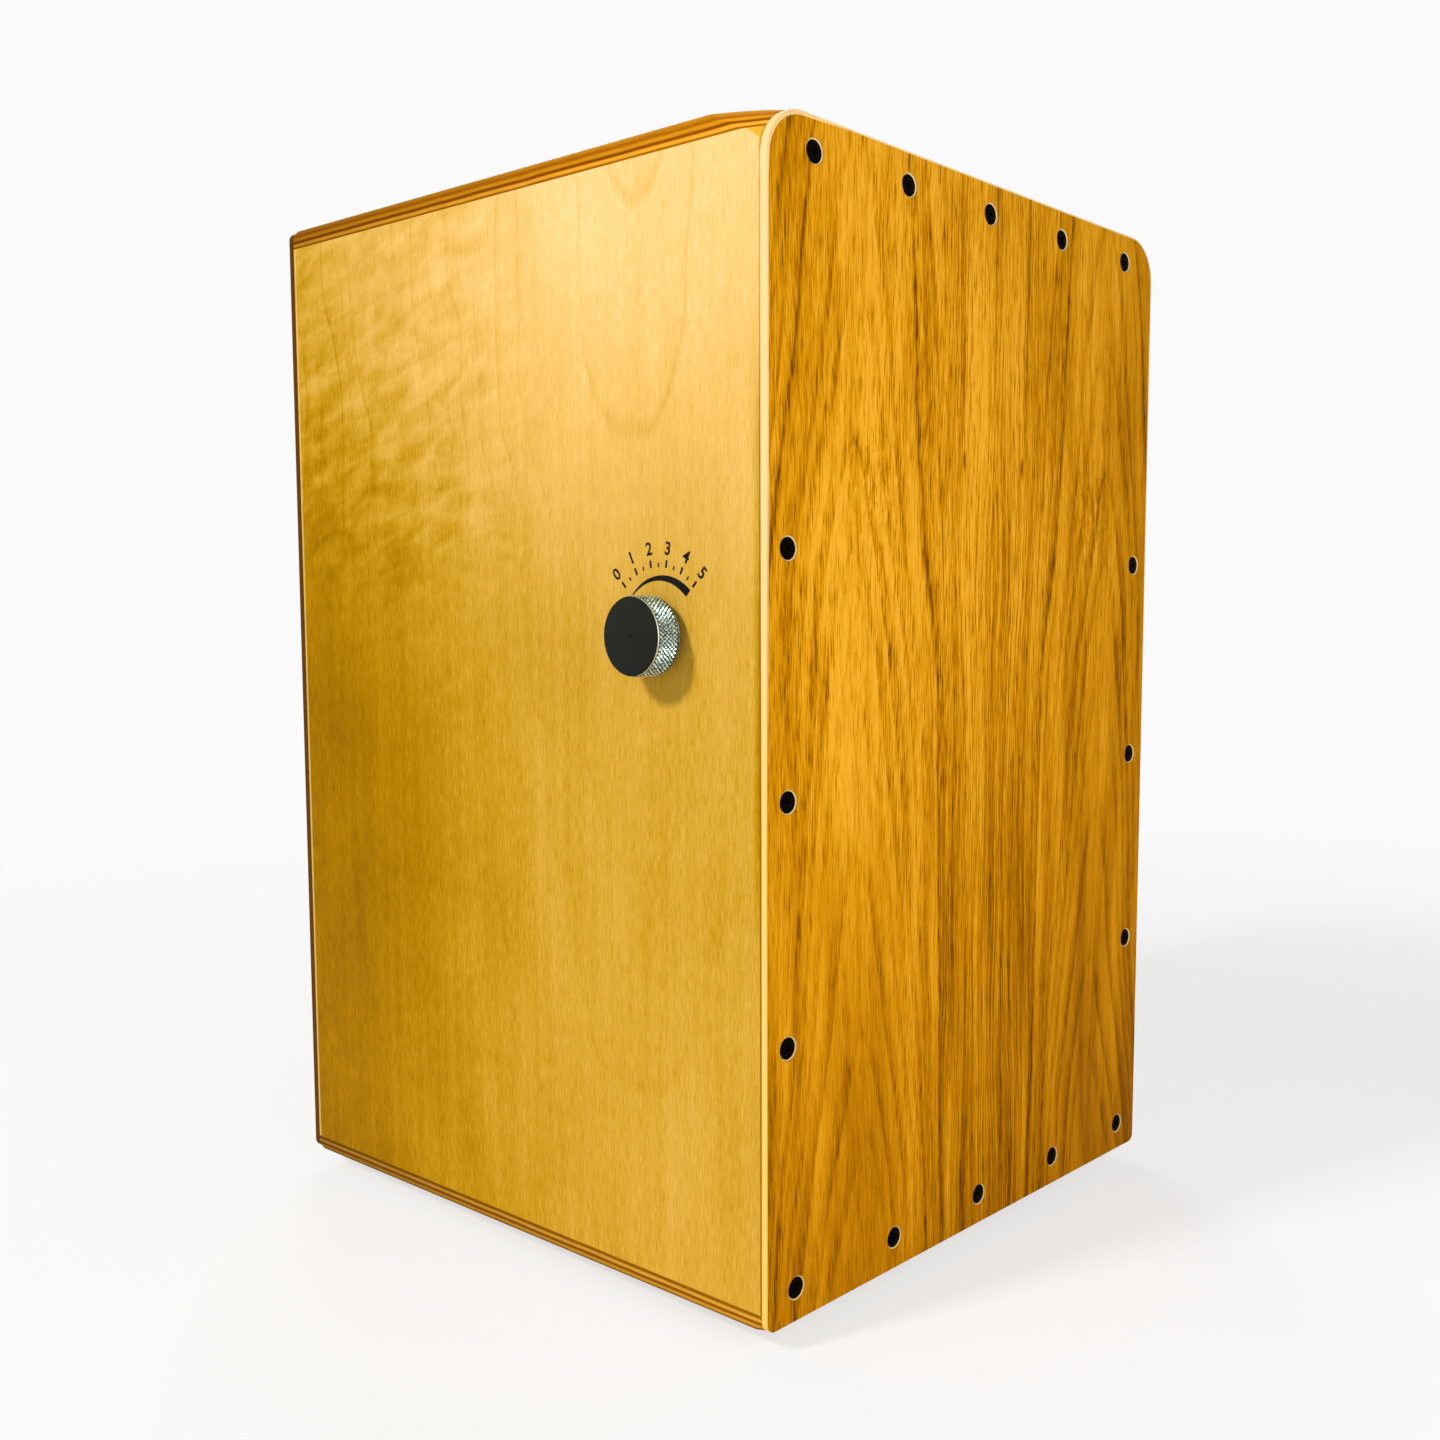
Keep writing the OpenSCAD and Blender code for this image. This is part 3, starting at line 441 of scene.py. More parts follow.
def birch_figure(tree, across, along, tone, heart, arch=-0.05):
    """Lacquered birch veneer in a tone: short fine fibres, and a few thin arches round heart.

    Gives the colour and the height of the face. The fibres are drawn coarser than real ones, to show.
    """
    spot = add(tree, JOIN, {"X": across, "Z": along})
    drift = add(tree, NOISE, {"Vector": spot, "Detail": 2.0}, size=(60, 1, 150))
    shifted = add(tree, MATH, {0: drift, 1: BIRCH_DRIFT, 2: across}, operation="MULTIPLY_ADD")
    off_heart = add(tree, MATH, {0: shifted, 1: heart + BIRCH_DRIFT / 2}, operation="SUBTRACT")
    rise = add(tree, MATH, {0: along, 1: BIRCH_LEAN, 2: BIRCH_HEART_RISE}, operation="MULTIPLY_ADD")
    flat = add(tree, JOIN, {"X": off_heart, "Y": rise})
    reach = add(tree, VECTOR, {0: flat}, **LENGTH)
    turns = add(tree, MATH, {0: reach, 1: BIRCH_RING}, operation="DIVIDE")
    ring = add(tree, MATH, {0: turns}, operation="FLOOR")
    chance = add(tree, "ShaderNodeTexWhiteNoise", {"W": ring}, noise_dimensions="1D")
    share = add(tree, MATH, {0: turns}, operation="FRACT")
    line = add(tree, RAMP, {"Fac": share}, stops=BIRCH_LINE)
    line = add(tree, MATH, {0: line, 1: chance}, operation="MULTIPLY")
    cloud = add(tree, NOISE, {"Vector": spot, "Detail": 3.0}, size=(45, 1, 110))
    streak = add(tree, NOISE, {"Vector": spot, "Detail": 3.0}, size=(5, 1, 120))
    fibre = add(tree, NOISE, {"Vector": spot, "Detail": 3.0, "Roughness": 0.7}, size=(0.6, 1, 8))
    for part, swing in ((cloud, CLOUD_SWING), (streak, STREAK_SWING), (fibre, FIBRE_SWING)):
        part = add(tree, RANGE, {0: part}, span=(*MOST, -swing, swing))
        tone = add(tree, MATH, {0: tone, 1: part}, operation="ADD")
    tone = add(tree, MATH, {0: line, 1: arch, 2: tone}, operation="MULTIPLY_ADD")
    colour = add(tree, RAMP, {"Fac": tone}, stops=BIRCH_TONES)
    return colour, fibre


def ply_edge(tree, place, depth, bands):
    """The cut edge of ply: layers whose grain runs along it or ends in it, painted shade that makes it
    darker to the rear, saw streaks.

    bands are depths below the board's upper face, and the colours there.
    """
    thickness = bands[-1][0]
    ragged = add(tree, NOISE, {"Vector": place, "Detail": 2.0}, size=(20, 20, 20))
    bent = add(tree, RANGE, {0: ragged}, span=(*NEARLY_ALL, -0.15, 0.15))
    bent = add(tree, MATH, {0: bent, 1: depth}, operation="ADD")
    share = add(tree, MATH, {0: bent, 1: thickness}, operation="DIVIDE")
    layers = add(tree, RAMP, {"Fac": share}, stops=[(low / thickness, tint(code)) for low, code in bands])
    y = add(tree, SPLIT, {"Vector": place}, give="Y")
    # Painted shade: the edge is darkened towards the rear, as falloff of light
    forward = add(tree, RANGE, {0: y}, span=(160.0, -160.0, 0.54, 1.12))
    streak = add(tree, NOISE, {"Vector": place, "Detail": 3.0}, size=(14, 14, 0.5))
    value = add(tree, RANGE, {0: streak}, span=(*MOST, 0.84, 1.14))
    value = add(tree, MATH, {0: value, 1: forward}, operation="MULTIPLY")
    return add(tree, PURITY, {"Color": layers, "Value": value})


def lacquered_birch(tree, colour, fibres):
    satin_lacquer(tree, colour, fibres, 0.40, 0.12, 0.08)


SIDE_HEART = -95.0
CURL_SLANT = 14
CURL_SHIFT = (-0.135, 0.07)
VENEER = 0.5
SANDED_THROUGH = 11.0
# Depths below the upper face, and the colours of the layers there
SIDE_BANDS = [(0.0, "#F0AC38"), (3.0, "#E8A02C"), (4.5, "#F2B444"), (9.0, "#DDAE5C")]
SEAT_BANDS = [
    (0.0, "#C98E2A"), (1.7, "#C07C14"), (2.4, "#AE6404"), (3.2, "#AE6404"), (3.9, "#D68E16"),
    (4.8, "#D48A14"), (5.4, "#8E4A00"), (6.2, "#8E4A00"), (6.8, "#F0A228"), (7.7, "#F2A62C"),
    (8.3, "#A46200"), (9.0, "#A86A04"),
]
BASE_BANDS = [
    (0.0, "#A87210"), (0.6, "#8A5400"), (1.3, "#8A5400"), (2.0, "#CE9632"), (2.8, "#CE9632"),
    (3.4, "#884C00"), (4.1, "#884C00"), (4.7, "#BE8828"), (5.5, "#BE8828"), (6.0, "#845206"),
    (6.7, "#845206"), (7.0, "#A87820"),
]


def birch_side_ply():
    """Birch ply, lacquered: ochre lower down and to the rear, pale at the upper front, where a painted sheen
    and painted light falloff lift the wood's own tone, curly in one part.
    """
    material, tree, place = start("birch_side_ply")
    x, y, z = add(tree, SPLIT, {"Vector": place}, give=None)
    # Painted light: the tone rises towards the front and the top, a painted sheen and falloff of light laid
    # over the wood's own ochre-to-cream tone
    forward = add(tree, RANGE, {0: y}, span=(185.0, -80.0, 0.08, 0.41), **SMOOTH)
    high = add(tree, RANGE, {0: z}, span=(250.0, 495.0, 0.0, 0.44), **SMOOTH)
    front = add(tree, RANGE, {0: y}, span=(170.0, 30.0, 0.86, 1.0))
    tone = add(tree, MATH, {0: high, 1: front, 2: forward}, operation="MULTIPLY_ADD")

    # Curl: short slanting clouds across the grain, in the upper rear part of the panel
    slant = (math.radians(CURL_SLANT), 0, 0)
    turned = add(tree, "ShaderNodeMapping", {"Vector": place, "Rotation": slant})
    curl = add(tree, NOISE, {"Vector": turned, "Detail": 2.0, "Distortion": 0.5}, size=(1000, 28, 10))
    curl = add(tree, RANGE, {0: curl}, span=(*MUCH, *CURL_SHIFT))
    curl_rear = add(tree, RANGE, {0: y}, span=(-50.0, 40.0, 0.12, 1.0), **SMOOTH)
    curl_high = add(tree, RANGE, {0: z}, span=(290.0, 360.0, 0.15, 1.0), **SMOOTH)
    curl_part = add(tree, MATH, {0: curl_rear, 1: curl_high}, operation="MULTIPLY")
    tone = add(tree, MATH, {0: curl, 1: curl_part, 2: tone}, operation="MULTIPLY_ADD")

    # A darker strip along part of the front edge, where hands rub it
    strip = add(tree, RANGE, {0: y}, span=(-166.0, -161.0, -0.24, 0.0), **SMOOTH)
    handled = add(tree, RANGE, {0: z}, span=(160.0, 230.0, 0.0, 1.0), **SMOOTH)
    unhandled = add(tree, RANGE, {0: z}, span=(370.0, 420.0, 1.0, 0.0), **SMOOTH)
    handled = add(tree, MATH, {0: handled, 1: unhandled}, operation="MULTIPLY")
    tone = add(tree, MATH, {0: strip, 1: handled, 2: tone}, operation="MULTIPLY_ADD")
    arch = add(tree, RANGE, {0: z}, span=(320.0, 400.0, -0.04, -0.13))
    face, fibres = birch_figure(tree, y, z, tone, SIDE_HEART, arch)

    # The core shows where the front top corner is rounded and its veneer is sanded through
    beside = add(tree, MATH, {0: x}, operation="ABSOLUTE")
    depth = add(tree, MATH, {0: -side_low.x / MM, 1: beside}, operation="SUBTRACT")
    core = ply_edge(tree, place, depth, SIDE_BANDS)
    behind = add(tree, MATH, {0: y, 1: 1 - side_low.y / MM}, operation="ADD")
    below = add(tree, MATH, {0: 1 + side_high.z / MM, 1: z}, operation="SUBTRACT")
    kept = add(tree, MATH, {0: behind, 1: below}, operation="MULTIPLY")
    worn = add(tree, RANGE, {0: kept}, span=(SANDED_THROUGH - 1, SANDED_THROUGH + 1, 1.0, 0.0))
    cut = add(tree, MATH, {0: depth, 1: VENEER}, operation="GREATER_THAN")
    cut = add(tree, MATH, {0: cut, 1: worn}, operation="MAXIMUM")
    colour = add(tree, MIX, {0: cut, 6: face, 7: core}, **BLEND)

    # A dark line along the tapa, partly glue and partly painted shade in the gap between the parts, and a
    # rubbed rear edge
    joint = add(tree, RANGE, {0: y}, span=(side_low.y / MM + 0.3, side_low.y / MM + 0.9, 1.0, 0.0))
    fainter_above = add(tree, RANGE, {0: z}, span=(370.0, 440.0, 1.0, 0.5))
    joint = add(tree, MATH, {0: joint, 1: fainter_above}, operation="MULTIPLY")
    colour = add(tree, MIX, {0: joint, 6: colour, 7: tint("#8E6006")}, **BLEND)
    rubbed = add(tree, RANGE, {0: y}, span=(side_high.y / MM - 1.8, side_high.y / MM - 1.2, 0.0, 0.6))
    colour = add(tree, MIX, {0: rubbed, 6: colour, 7: tint("#F0CB74")}, **BLEND)
    lacquered_birch(tree, colour, fibres)
    return material


LEVEL_HEART = 20.0
LEVEL_SWING = 0.08
FACE_LIMIT = 0.97


def birch_level_ply(name, upper_z, bands, tone):
    """A level birch ply board: veneer above and below, layered edges between them."""
    material, tree, place = start(name)
    x, y, z = add(tree, SPLIT, {"Vector": place}, give=None)
    even = add(tree, RANGE, {0: y}, span=(170.0, -170.0, tone - LEVEL_SWING, tone + LEVEL_SWING))
    face, fibres = birch_figure(tree, x, y, even, LEVEL_HEART)
    from_top = add(tree, MATH, {0: upper_z / MM, 1: z}, operation="SUBTRACT")
    edge = ply_edge(tree, place, from_top, bands)
    facing = add(tree, "ShaderNodeNewGeometry", give="True Normal")
    level = add(tree, SPLIT, {"Vector": facing}, give="Z")
    level = add(tree, MATH, {0: level}, operation="ABSOLUTE")
    cut = add(tree, MATH, {0: level, 1: FACE_LIMIT}, operation="LESS_THAN")
    colour = add(tree, MIX, {0: cut, 6: face, 7: edge}, **BLEND)
    lacquered_birch(tree, colour, fibres)
    return material


BACK_HEART = -30.0


def stained_back_ply():
    """Thin birch ply for the back: a plain ochre face, and edges coloured dark brown."""
    material, tree, place = start("stained_back_ply")
    x, y, z = add(tree, SPLIT, {"Vector": place}, give=None)
    tone = add(tree, RANGE, {0: z}, span=(10.0, 500.0, 0.36, 0.55))
    face, fibres = birch_figure(tree, x, z, tone, BACK_HEART)
    facing = add(tree, "ShaderNodeNewGeometry", give="True Normal")
    flat = add(tree, SPLIT, {"Vector": facing}, give="Y")
    flat = add(tree, MATH, {0: flat}, operation="ABSOLUTE")
    edge = add(tree, MATH, {0: flat, 1: 0.5}, operation="LESS_THAN")
    grain = add(tree, NOISE, {"Vector": place, "Detail": 3.0}, size=(3, 0.4, 3))
    dark_edge_colour = add(tree, RAMP, {"Fac": grain}, stops=[(0.3, tint("#4A2A04")), (0.7, tint("#6E4410"))])
    colour = add(tree, MIX, {0: edge, 6: face, 7: dark_edge_colour}, **BLEND)
    lacquered_birch(tree, colour, fibres)
    return material


PINE_TONES = [
    (0.3, tint("#E7CB97")), (0.5, tint("#D9B679")), (0.58, tint("#B98A4C")), (0.66, tint("#E2C48C")),
]
# Widths and lengths
PINE_LINES = (7.0, 260.0)
PINE_FIBRES = (0.8, 40.0)


def planed_pine(name, along):
    """Planed pine, left raw: pale wood with soft darker year lines along the stick."""
    material, tree, place = start(name)
    line_size, fibre_size = (
        [length if axis == along else width for axis in range(3)]
        for width, length in (PINE_LINES, PINE_FIBRES)
    )
    lines = add(tree, NOISE, {"Vector": place, "Detail": 3.0, "Distortion": 0.4}, size=line_size)
    fibre = add(tree, NOISE, {"Vector": place, "Detail": 2.0}, size=fibre_size)
    colour = add(tree, RAMP, {"Fac": lines}, stops=PINE_TONES)
    value = add(tree, RANGE, {0: fibre}, span=(*MOST, 0.9, 1.08))
    colour = add(tree, PURITY, {"Color": colour, "Value": value})
    dents = add(tree, BUMP, {"Strength": 0.2, "Distance": 0.1 * MM, "Height": fibre})
    coat(tree, {"Base Color": colour, "Roughness": 0.62, "IOR": WOOD_IOR, "Normal": dents})
    return material


# Metal, plastic, rubber, felt and ink


def metal(name, low, high, grit, roughness, spread):
    """A plated or bare metal: patches of tone of a real size, and a gloss that varies with them."""
    material, tree, place = start(name)
    patch = add(tree, NOISE, {"Vector": place, "Detail": 4.0}, size=grit)
    colour = add(tree, RAMP, {"Fac": patch}, stops=list(zip(MUCH, (tint(low), tint(high)))))
    gloss = add(tree, RANGE, {0: patch}, span=(*MUCH, roughness + spread, roughness - spread))
    coat(tree, {"Base Color": colour, "Metallic": 1.0, "Roughness": gloss})
    return material


def dull_solid(name, low, high, grit, roughness, dent, shine):
    """A dull solid with a grain that shows in its tone and can be felt, drawn coarser than real, to show."""
    material, tree, place = start(name)
    grain = add(tree, NOISE, {"Vector": place, "Detail": 4.0}, size=grit)
    colour = add(tree, RAMP, {"Fac": grain}, stops=list(zip(MUCH, (tint(low), tint(high)))))
    dents = add(tree, BUMP, {"Strength": 0.4, "Distance": dent * MM, "Height": grain})
    coat(tree, {"Base Color": colour, "Roughness": roughness, "Specular IOR Level": shine, "Normal": dents})
    return material


KNOB_R = (rim_high.y - rim_low.y) / 2
KNURL_DEPTH = 0.5 * MM
KNOB_BEVEL = 0.6 * MM
BACK_BEVEL = 0.4 * MM
# Specks of grime and painted glints, drawn coarser than real ones, to show
SPECK = (0.68, 0.68, 0.68)
SPECK_SHIFT = (-0.36, 0.34)


def knurled_nickel():
    """Nickel plate on a knurl: bright points over grooves darkened by grime and painted shade, specks of
    grime and painted glints, a bevel with a painted highlight, and a ring by the cap darkened by grime and
    painted shade.
    """
    material, tree, place = start("knurled_nickel")
    from_axis = add(tree, VECTOR, {0: place, 1: shaft / MM}, operation="SUBTRACT")
    x, y, z = add(tree, SPLIT, {"Vector": from_axis}, give=None)
    flat = add(tree, JOIN, {"Y": y, "Z": z})
    radius = add(tree, VECTOR, {0: flat}, **LENGTH)
    # Painted glints: specks that lighten and darken the metal at random, grime and painted sparkle of light
    grime_and_glint = add(tree, "ShaderNodeTexVoronoi", {"Vector": place}, give="Color", size=SPECK)
    grime_and_glint = add(tree, RANGE, {0: grime_and_glint}, span=(*MOST, *SPECK_SHIFT))
    # Painted shade: the grooves are drawn dark, partly grime and partly shade where the knurl hides them
    # from light
    valley_r = (KNOB_R - KNURL_DEPTH) / MM
    height = add(tree, RANGE, {0: radius}, span=(valley_r, KNOB_R / MM, 0.0, 1.0))
    height = add(tree, MATH, {0: height, 1: grime_and_glint}, operation="ADD")
    colour = add(
        tree, RAMP, {"Fac": height},
        stops=[(0.0, tint("#465856")), (0.4, tint("#86A09D")), (0.75, tint("#E6FBF9"))],
    )
    # A painted highlight on the bevel all the way round, and a dark ring by the cap, partly grime and partly
    # painted shade of the gap
    from_face = add(tree, MATH, {0: x, 1: (rim_low.x - shaft.x) / MM}, operation="SUBTRACT")
    turned = add(tree, RAMP, {"Fac": from_face}, stops=[(0.05, tint("#2C2F2D")), (0.1, tint("#E8EEEC"))])
    unknurled = add(tree, MATH, {0: from_face, 1: KNOB_BEVEL / MM}, operation="LESS_THAN")
    colour = add(tree, MIX, {0: unknurled, 6: colour, 7: turned}, **BLEND)
    gloss = add(tree, RANGE, {0: height}, span=(0.0, 1.0, 0.5, 0.3))
    coat(tree, {"Base Color": colour, "Metallic": 1.0, "Roughness": gloss})
    return material


teak_ply = teak_faced_ply()
side_ply = birch_side_ply()
top_ply = birch_level_ply("birch_seat_ply", top_z, SEAT_BANDS, 0.72)
bottom_ply = birch_level_ply("birch_base_ply", bottom_z, BASE_BANDS, 0.40)
back_ply = stained_back_ply()
pine_across = planed_pine("pine_across", 0)
pine_upright = planed_pine("pine_upright", 2)
nickel = knurled_nickel()
zinc = metal("zinc_plated_steel", "#9A9D9E", "#BDBFBD", (2, 2, 2), 0.36, 0.08)
brass = metal("turned_brass", "#B98D3C", "#D2A956", (4, 0.3, 0.3), 0.30, 0.06)
snare_wire = metal("snare_steel", "#A8AAA8", "#CFD0CC", (1, 1, 1), 0.28, 0.06)
black_steel = dull_solid("phosphated_steel", "#040201", "#080402", (1.5, 1.5, 1.5), 0.55, 0.02, 0.015)
cap_plastic = dull_solid("matt_black_plastic", "#191B15", "#23251E", (0.5, 0.5, 0.5), 0.60, 0.02, 0.05)
rubber = dull_solid("moulded_rubber", "#1B1A19", "#262423", (0.9, 0.9, 0.9), 0.72, 0.06, 0.35)
felt = dull_solid("pressed_felt", "#3A3833", "#57544C", (0.5, 0.5, 0.5), 0.95, 0.3, 0.1)
ink = dull_solid("screen_ink", "#0C0A07", "#15120D", (1.2, 1.2, 1.2), 0.55, 0.01, 0.08)

FINISHES = {
    teak_ply: ["tapa"],
    side_ply: ["left_side_panel", "right_side_panel"],
    top_ply: ["top_panel"],
    bottom_ply: ["bottom_panel"],
    back_ply: ["back_panel"],
    pine_across: [
        "front_top_batten", "front_bottom_batten", "rear_top_batten", "rear_bottom_batten",
        "snare_dowel", "bearing_block",
    ],
    pine_upright: ["front_left_batten", "front_right_batten", "rear_left_batten", "rear_right_batten"],
    black_steel: ["tapa_screws", "knob_grub_screw"],
    zinc: [
        "foot_washers", "foot_screws", "foot_nuts", "bush_washer", "block_screws", "knob_spindle",
        "end_pin", "cross_pins", "left_clamp", "right_clamp", "clamp_screws",
    ],
    brass: ["panel_bush", "bush_nut"],
    nickel: ["knob_rim"],
    snare_wire: ["left_snare", "right_snare"],
    cap_plastic: ["knob_cap"],
    rubber: ["front_left_foot", "front_right_foot", "rear_left_foot", "rear_right_foot"],
    felt: ["felt_washer"],
}
for finish, names in FINISHES.items():
    for name in names:
        nodes[name].data.materials.clear()
        nodes[name].data.materials.append(finish)


# Pieces

# Corners nearer than this are one corner
SAME_CORNER = 0.001 * MM
QUARTER = math.pi / 2


def turn(bm, profile, steps):
    """Turns a line of radius and height about Z; a radius of 0 closes that end."""
    rows = []
    for radius, height in profile:
        count = steps if radius else 1
        angles = [math.tau * step / count for step in range(count)]
        rows.append([bm.verts.new((radius * math.cos(a), radius * math.sin(a), height)) for a in angles])
    for low, high in zip(rows, rows[1:]):
        for step in range(steps):
            after = (step + 1) % steps
            corners = ((low, step), (low, after), (high, after), (high, step))
            bm.faces.new(dict.fromkeys(row[i % len(row)] for row, i in corners))


def finished(bm, name, axes=None, soft=35):
    """A mesh from closed solids: doubles merged, faces outwards, set by axes, smooth up to an angle."""
    bmesh.ops.remove_doubles(bm, verts=bm.verts, dist=SAME_CORNER)
    bmesh.ops.recalc_face_normals(bm, faces=bm.faces)
    if axes:
        bm.transform(axes)
    mesh = bpy.data.meshes.new(name)
    bm.to_mesh(mesh)
    bm.free()
    mesh.shade_smooth()
    mesh.set_sharp_from_angle(angle=math.radians(soft))
    return mesh


def group(name, takes):
    """An empty geometry tree with named inputs, and those inputs' sockets."""
    tree = bpy.data.node_groups.new(name, "GeometryNodeTree")
    tree.interface.new_socket("Geometry", in_out="INPUT", socket_type="NodeSocketGeometry")
    for label, kind in takes.items():
        tree.interface.new_socket(label, in_out="INPUT", socket_type="NodeSocket" + kind)
    tree.interface.new_socket("Geometry", in_out="OUTPUT", socket_type="NodeSocketGeometry")
    return tree, add(tree, "NodeGroupInput", give=None)


def close(tree, shape, finish):
    """Ends a geometry tree with plain geometry in a finish."""
    real = add(tree, "GeometryNodeRealizeInstances", {"Geometry": shape})
    painted = add(tree, "GeometryNodeSetMaterial", {"Geometry": real, "Material": finish})
    add(tree, "NodeGroupOutput", {"Geometry": painted})


def grow(tree, base, values):
    """The solids that a geometry tree makes of a base mesh and named values."""
    holder = bpy.data.objects.new("holder", base)
    scene.collection.objects.link(holder)
    growth = holder.modifiers.new("growth", "NODES")
    growth.node_group = tree
    for item in tree.interface.items_tree:
        if item.name in values:
            growth[item.identifier] = values[item.name]
    bpy.context.view_layer.update()
    grown = holder.evaluated_get(bpy.context.evaluated_depsgraph_get())
    bm = bmesh.new()
    bm.from_mesh(bpy.data.meshes.new_from_object(grown))
    bpy.data.objects.remove(holder)
    return bm


def show(name, mesh, finish, body, stands_for=()):
    """Shows a mesh in a finish, as a piece that rides on a body and stands for nodes of the frame."""
    mesh.materials.append(finish)
    shown = bpy.data.objects.new(name, mesh)
    scene.collection.objects.link(shown)
    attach(shown, body)
    if stands_for:
        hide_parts(*stands_for)


# The knob: a knurled rim and a cap, turned about the shaft with their Z axis from the face to the back
KNOB_AXES = Matrix.Translation((rim_low.x, shaft.y, shaft.z)) @ Matrix(
    ((0, 0, 1, 0), (1, 0, 0, 0), (0, 1, 0, 0), (0, 0, 0, 1))
)
KNOB_LENGTH = rim_high.x - rim_low.x
CAP_R = (cap_high.y - cap_low.y) / 2
CAP_DEPTH = cap_high.x - cap_low.x
CAP_EDGE = 0.35 * MM
CAP_STEPS = 128
DIMPLE_DEPTH = 0.4 * MM
DIMPLE_R = (0.35 * MM, 0.8 * MM)
SEAT_SPARE = 0.1 * MM
# Coarser than a real knurl, which would be too fine to show
KNURL_COLUMNS = 120
KNURL_ROWS = 10
KNURL_SOFT = 12
KNURL_WELD = 0.01 * MM
BORE_R = 3.1 * MM
BORE_DEPTH = 8.0 * MM
GRUB_HOLE_R = 2.1 * MM
GRUB_HOLE_STEPS = 32
# The middle of the drill that cuts the grub screw's hole, in shares of the radius of the knurl's valleys
DRILL_MIDDLE = -0.72


def knurl_tree():
    """Diamond knurling: a grid rolled into a cylinder, every other crossing of which is raised to a point.

    It closes the gap between the two turned ends that it is given, and a grub screw's hole is cut in it.
    """
    tree, given = group(
        "knurl",
        {
            "Valley radius": "Float", "Depth": "Float", "Start": "Float", "End": "Float", "Columns": "Int",
            "Rows": "Int", "Hole radius": "Float", "Hole at": "Float", "Finish": "Material",
        },
    )
    edge_columns = add(tree, MATH, {0: given["Columns"], 1: 1.0}, operation="ADD")
    edge_rows = add(tree, MATH, {0: given["Rows"], 1: 1.0}, operation="ADD")
    sheet = add(
        tree, "GeometryNodeMeshGrid",
        {"Size X": 1.0, "Size Y": 1.0, "Vertices X": edge_columns, "Vertices Y": edge_rows}, give="Mesh",
    )
    x, y, z = add(tree, SPLIT, {"Vector": add(tree, "GeometryNodeInputPosition")}, give=None)
    round_share = add(tree, MATH, {0: x, 1: 0.5}, operation="ADD")
    along_share = add(tree, MATH, {0: y, 1: 0.5}, operation="ADD")
    column = add(tree, MATH, {0: round_share, 1: given["Columns"]}, operation="MULTIPLY")
    row = add(tree, MATH, {0: along_share, 1: given["Rows"]}, operation="MULTIPLY")
    crossing = add(tree, MATH, {0: column, 1: row}, operation="ADD")
    crossing = add(tree, MATH, {0: crossing}, operation="ROUND")
    raised = add(tree, MATH, {0: crossing, 1: 2.0}, operation="MODULO")
    past_start = add(tree, MATH, {0: row, 1: 0.5}, operation="GREATER_THAN")
    last_row = add(tree, MATH, {0: given["Rows"], 1: 0.5}, operation="SUBTRACT")
    before_end = add(tree, MATH, {0: row, 1: last_row}, operation="LESS_THAN")
    for part in (past_start, before_end):
        raised = add(tree, MATH, {0: raised, 1: part}, operation="MULTIPLY")
    valley = given["Valley radius"]
    radius = add(tree, MATH, {0: raised, 1: given["Depth"], 2: valley}, operation="MULTIPLY_ADD")
    angle = add(tree, MATH, {0: round_share, 1: math.tau}, operation="MULTIPLY")
    ways = [add(tree, MATH, {0: angle}, operation=way) for way in ("COSINE", "SINE")]
    rolled_x, rolled_y = (add(tree, MATH, {0: way, 1: radius}, operation="MULTIPLY") for way in ways)
    rolled_z = add(tree, RANGE, {0: along_share}, span=(0.0, 1.0, given["Start"], given["End"]))
    rolled = add(tree, JOIN, {"X": rolled_x, "Y": rolled_y, "Z": rolled_z})
    band = add(tree, "GeometryNodeSetPosition", {"Geometry": sheet, "Position": rolled})
    whole = add(tree, "GeometryNodeJoinGeometry", {"Geometry": [given["Geometry"], band]})
    whole = add(tree, "GeometryNodeMergeByDistance", {"Geometry": whole, "Distance": KNURL_WELD})
    whole = add(tree, "GeometryNodeTriangulate", {"Mesh": whole}, quad_method="SHORTEST_DIAGONAL")
    drill = add(
        tree, "GeometryNodeMeshCylinder",
        {"Vertices": GRUB_HOLE_STEPS, "Radius": given["Hole radius"], "Depth": valley}, give="Mesh",
    )
    below = add(tree, MATH, {0: valley, 1: DRILL_MIDDLE}, operation="MULTIPLY")
    under = add(tree, JOIN, {"Y": below, "Z": given["Hole at"]})
    drill = add(
        tree, "GeometryNodeTransform", {"Geometry": drill, "Translation": under, "Rotation": (QUARTER, 0, 0)}
    )
    drilled = add(
        tree, "GeometryNodeMeshBoolean", {"Mesh 1": whole, "Mesh 2": drill},
        operation="DIFFERENCE", solver="EXACT",
    )
    close(tree, drilled, given["Finish"])
    return tree


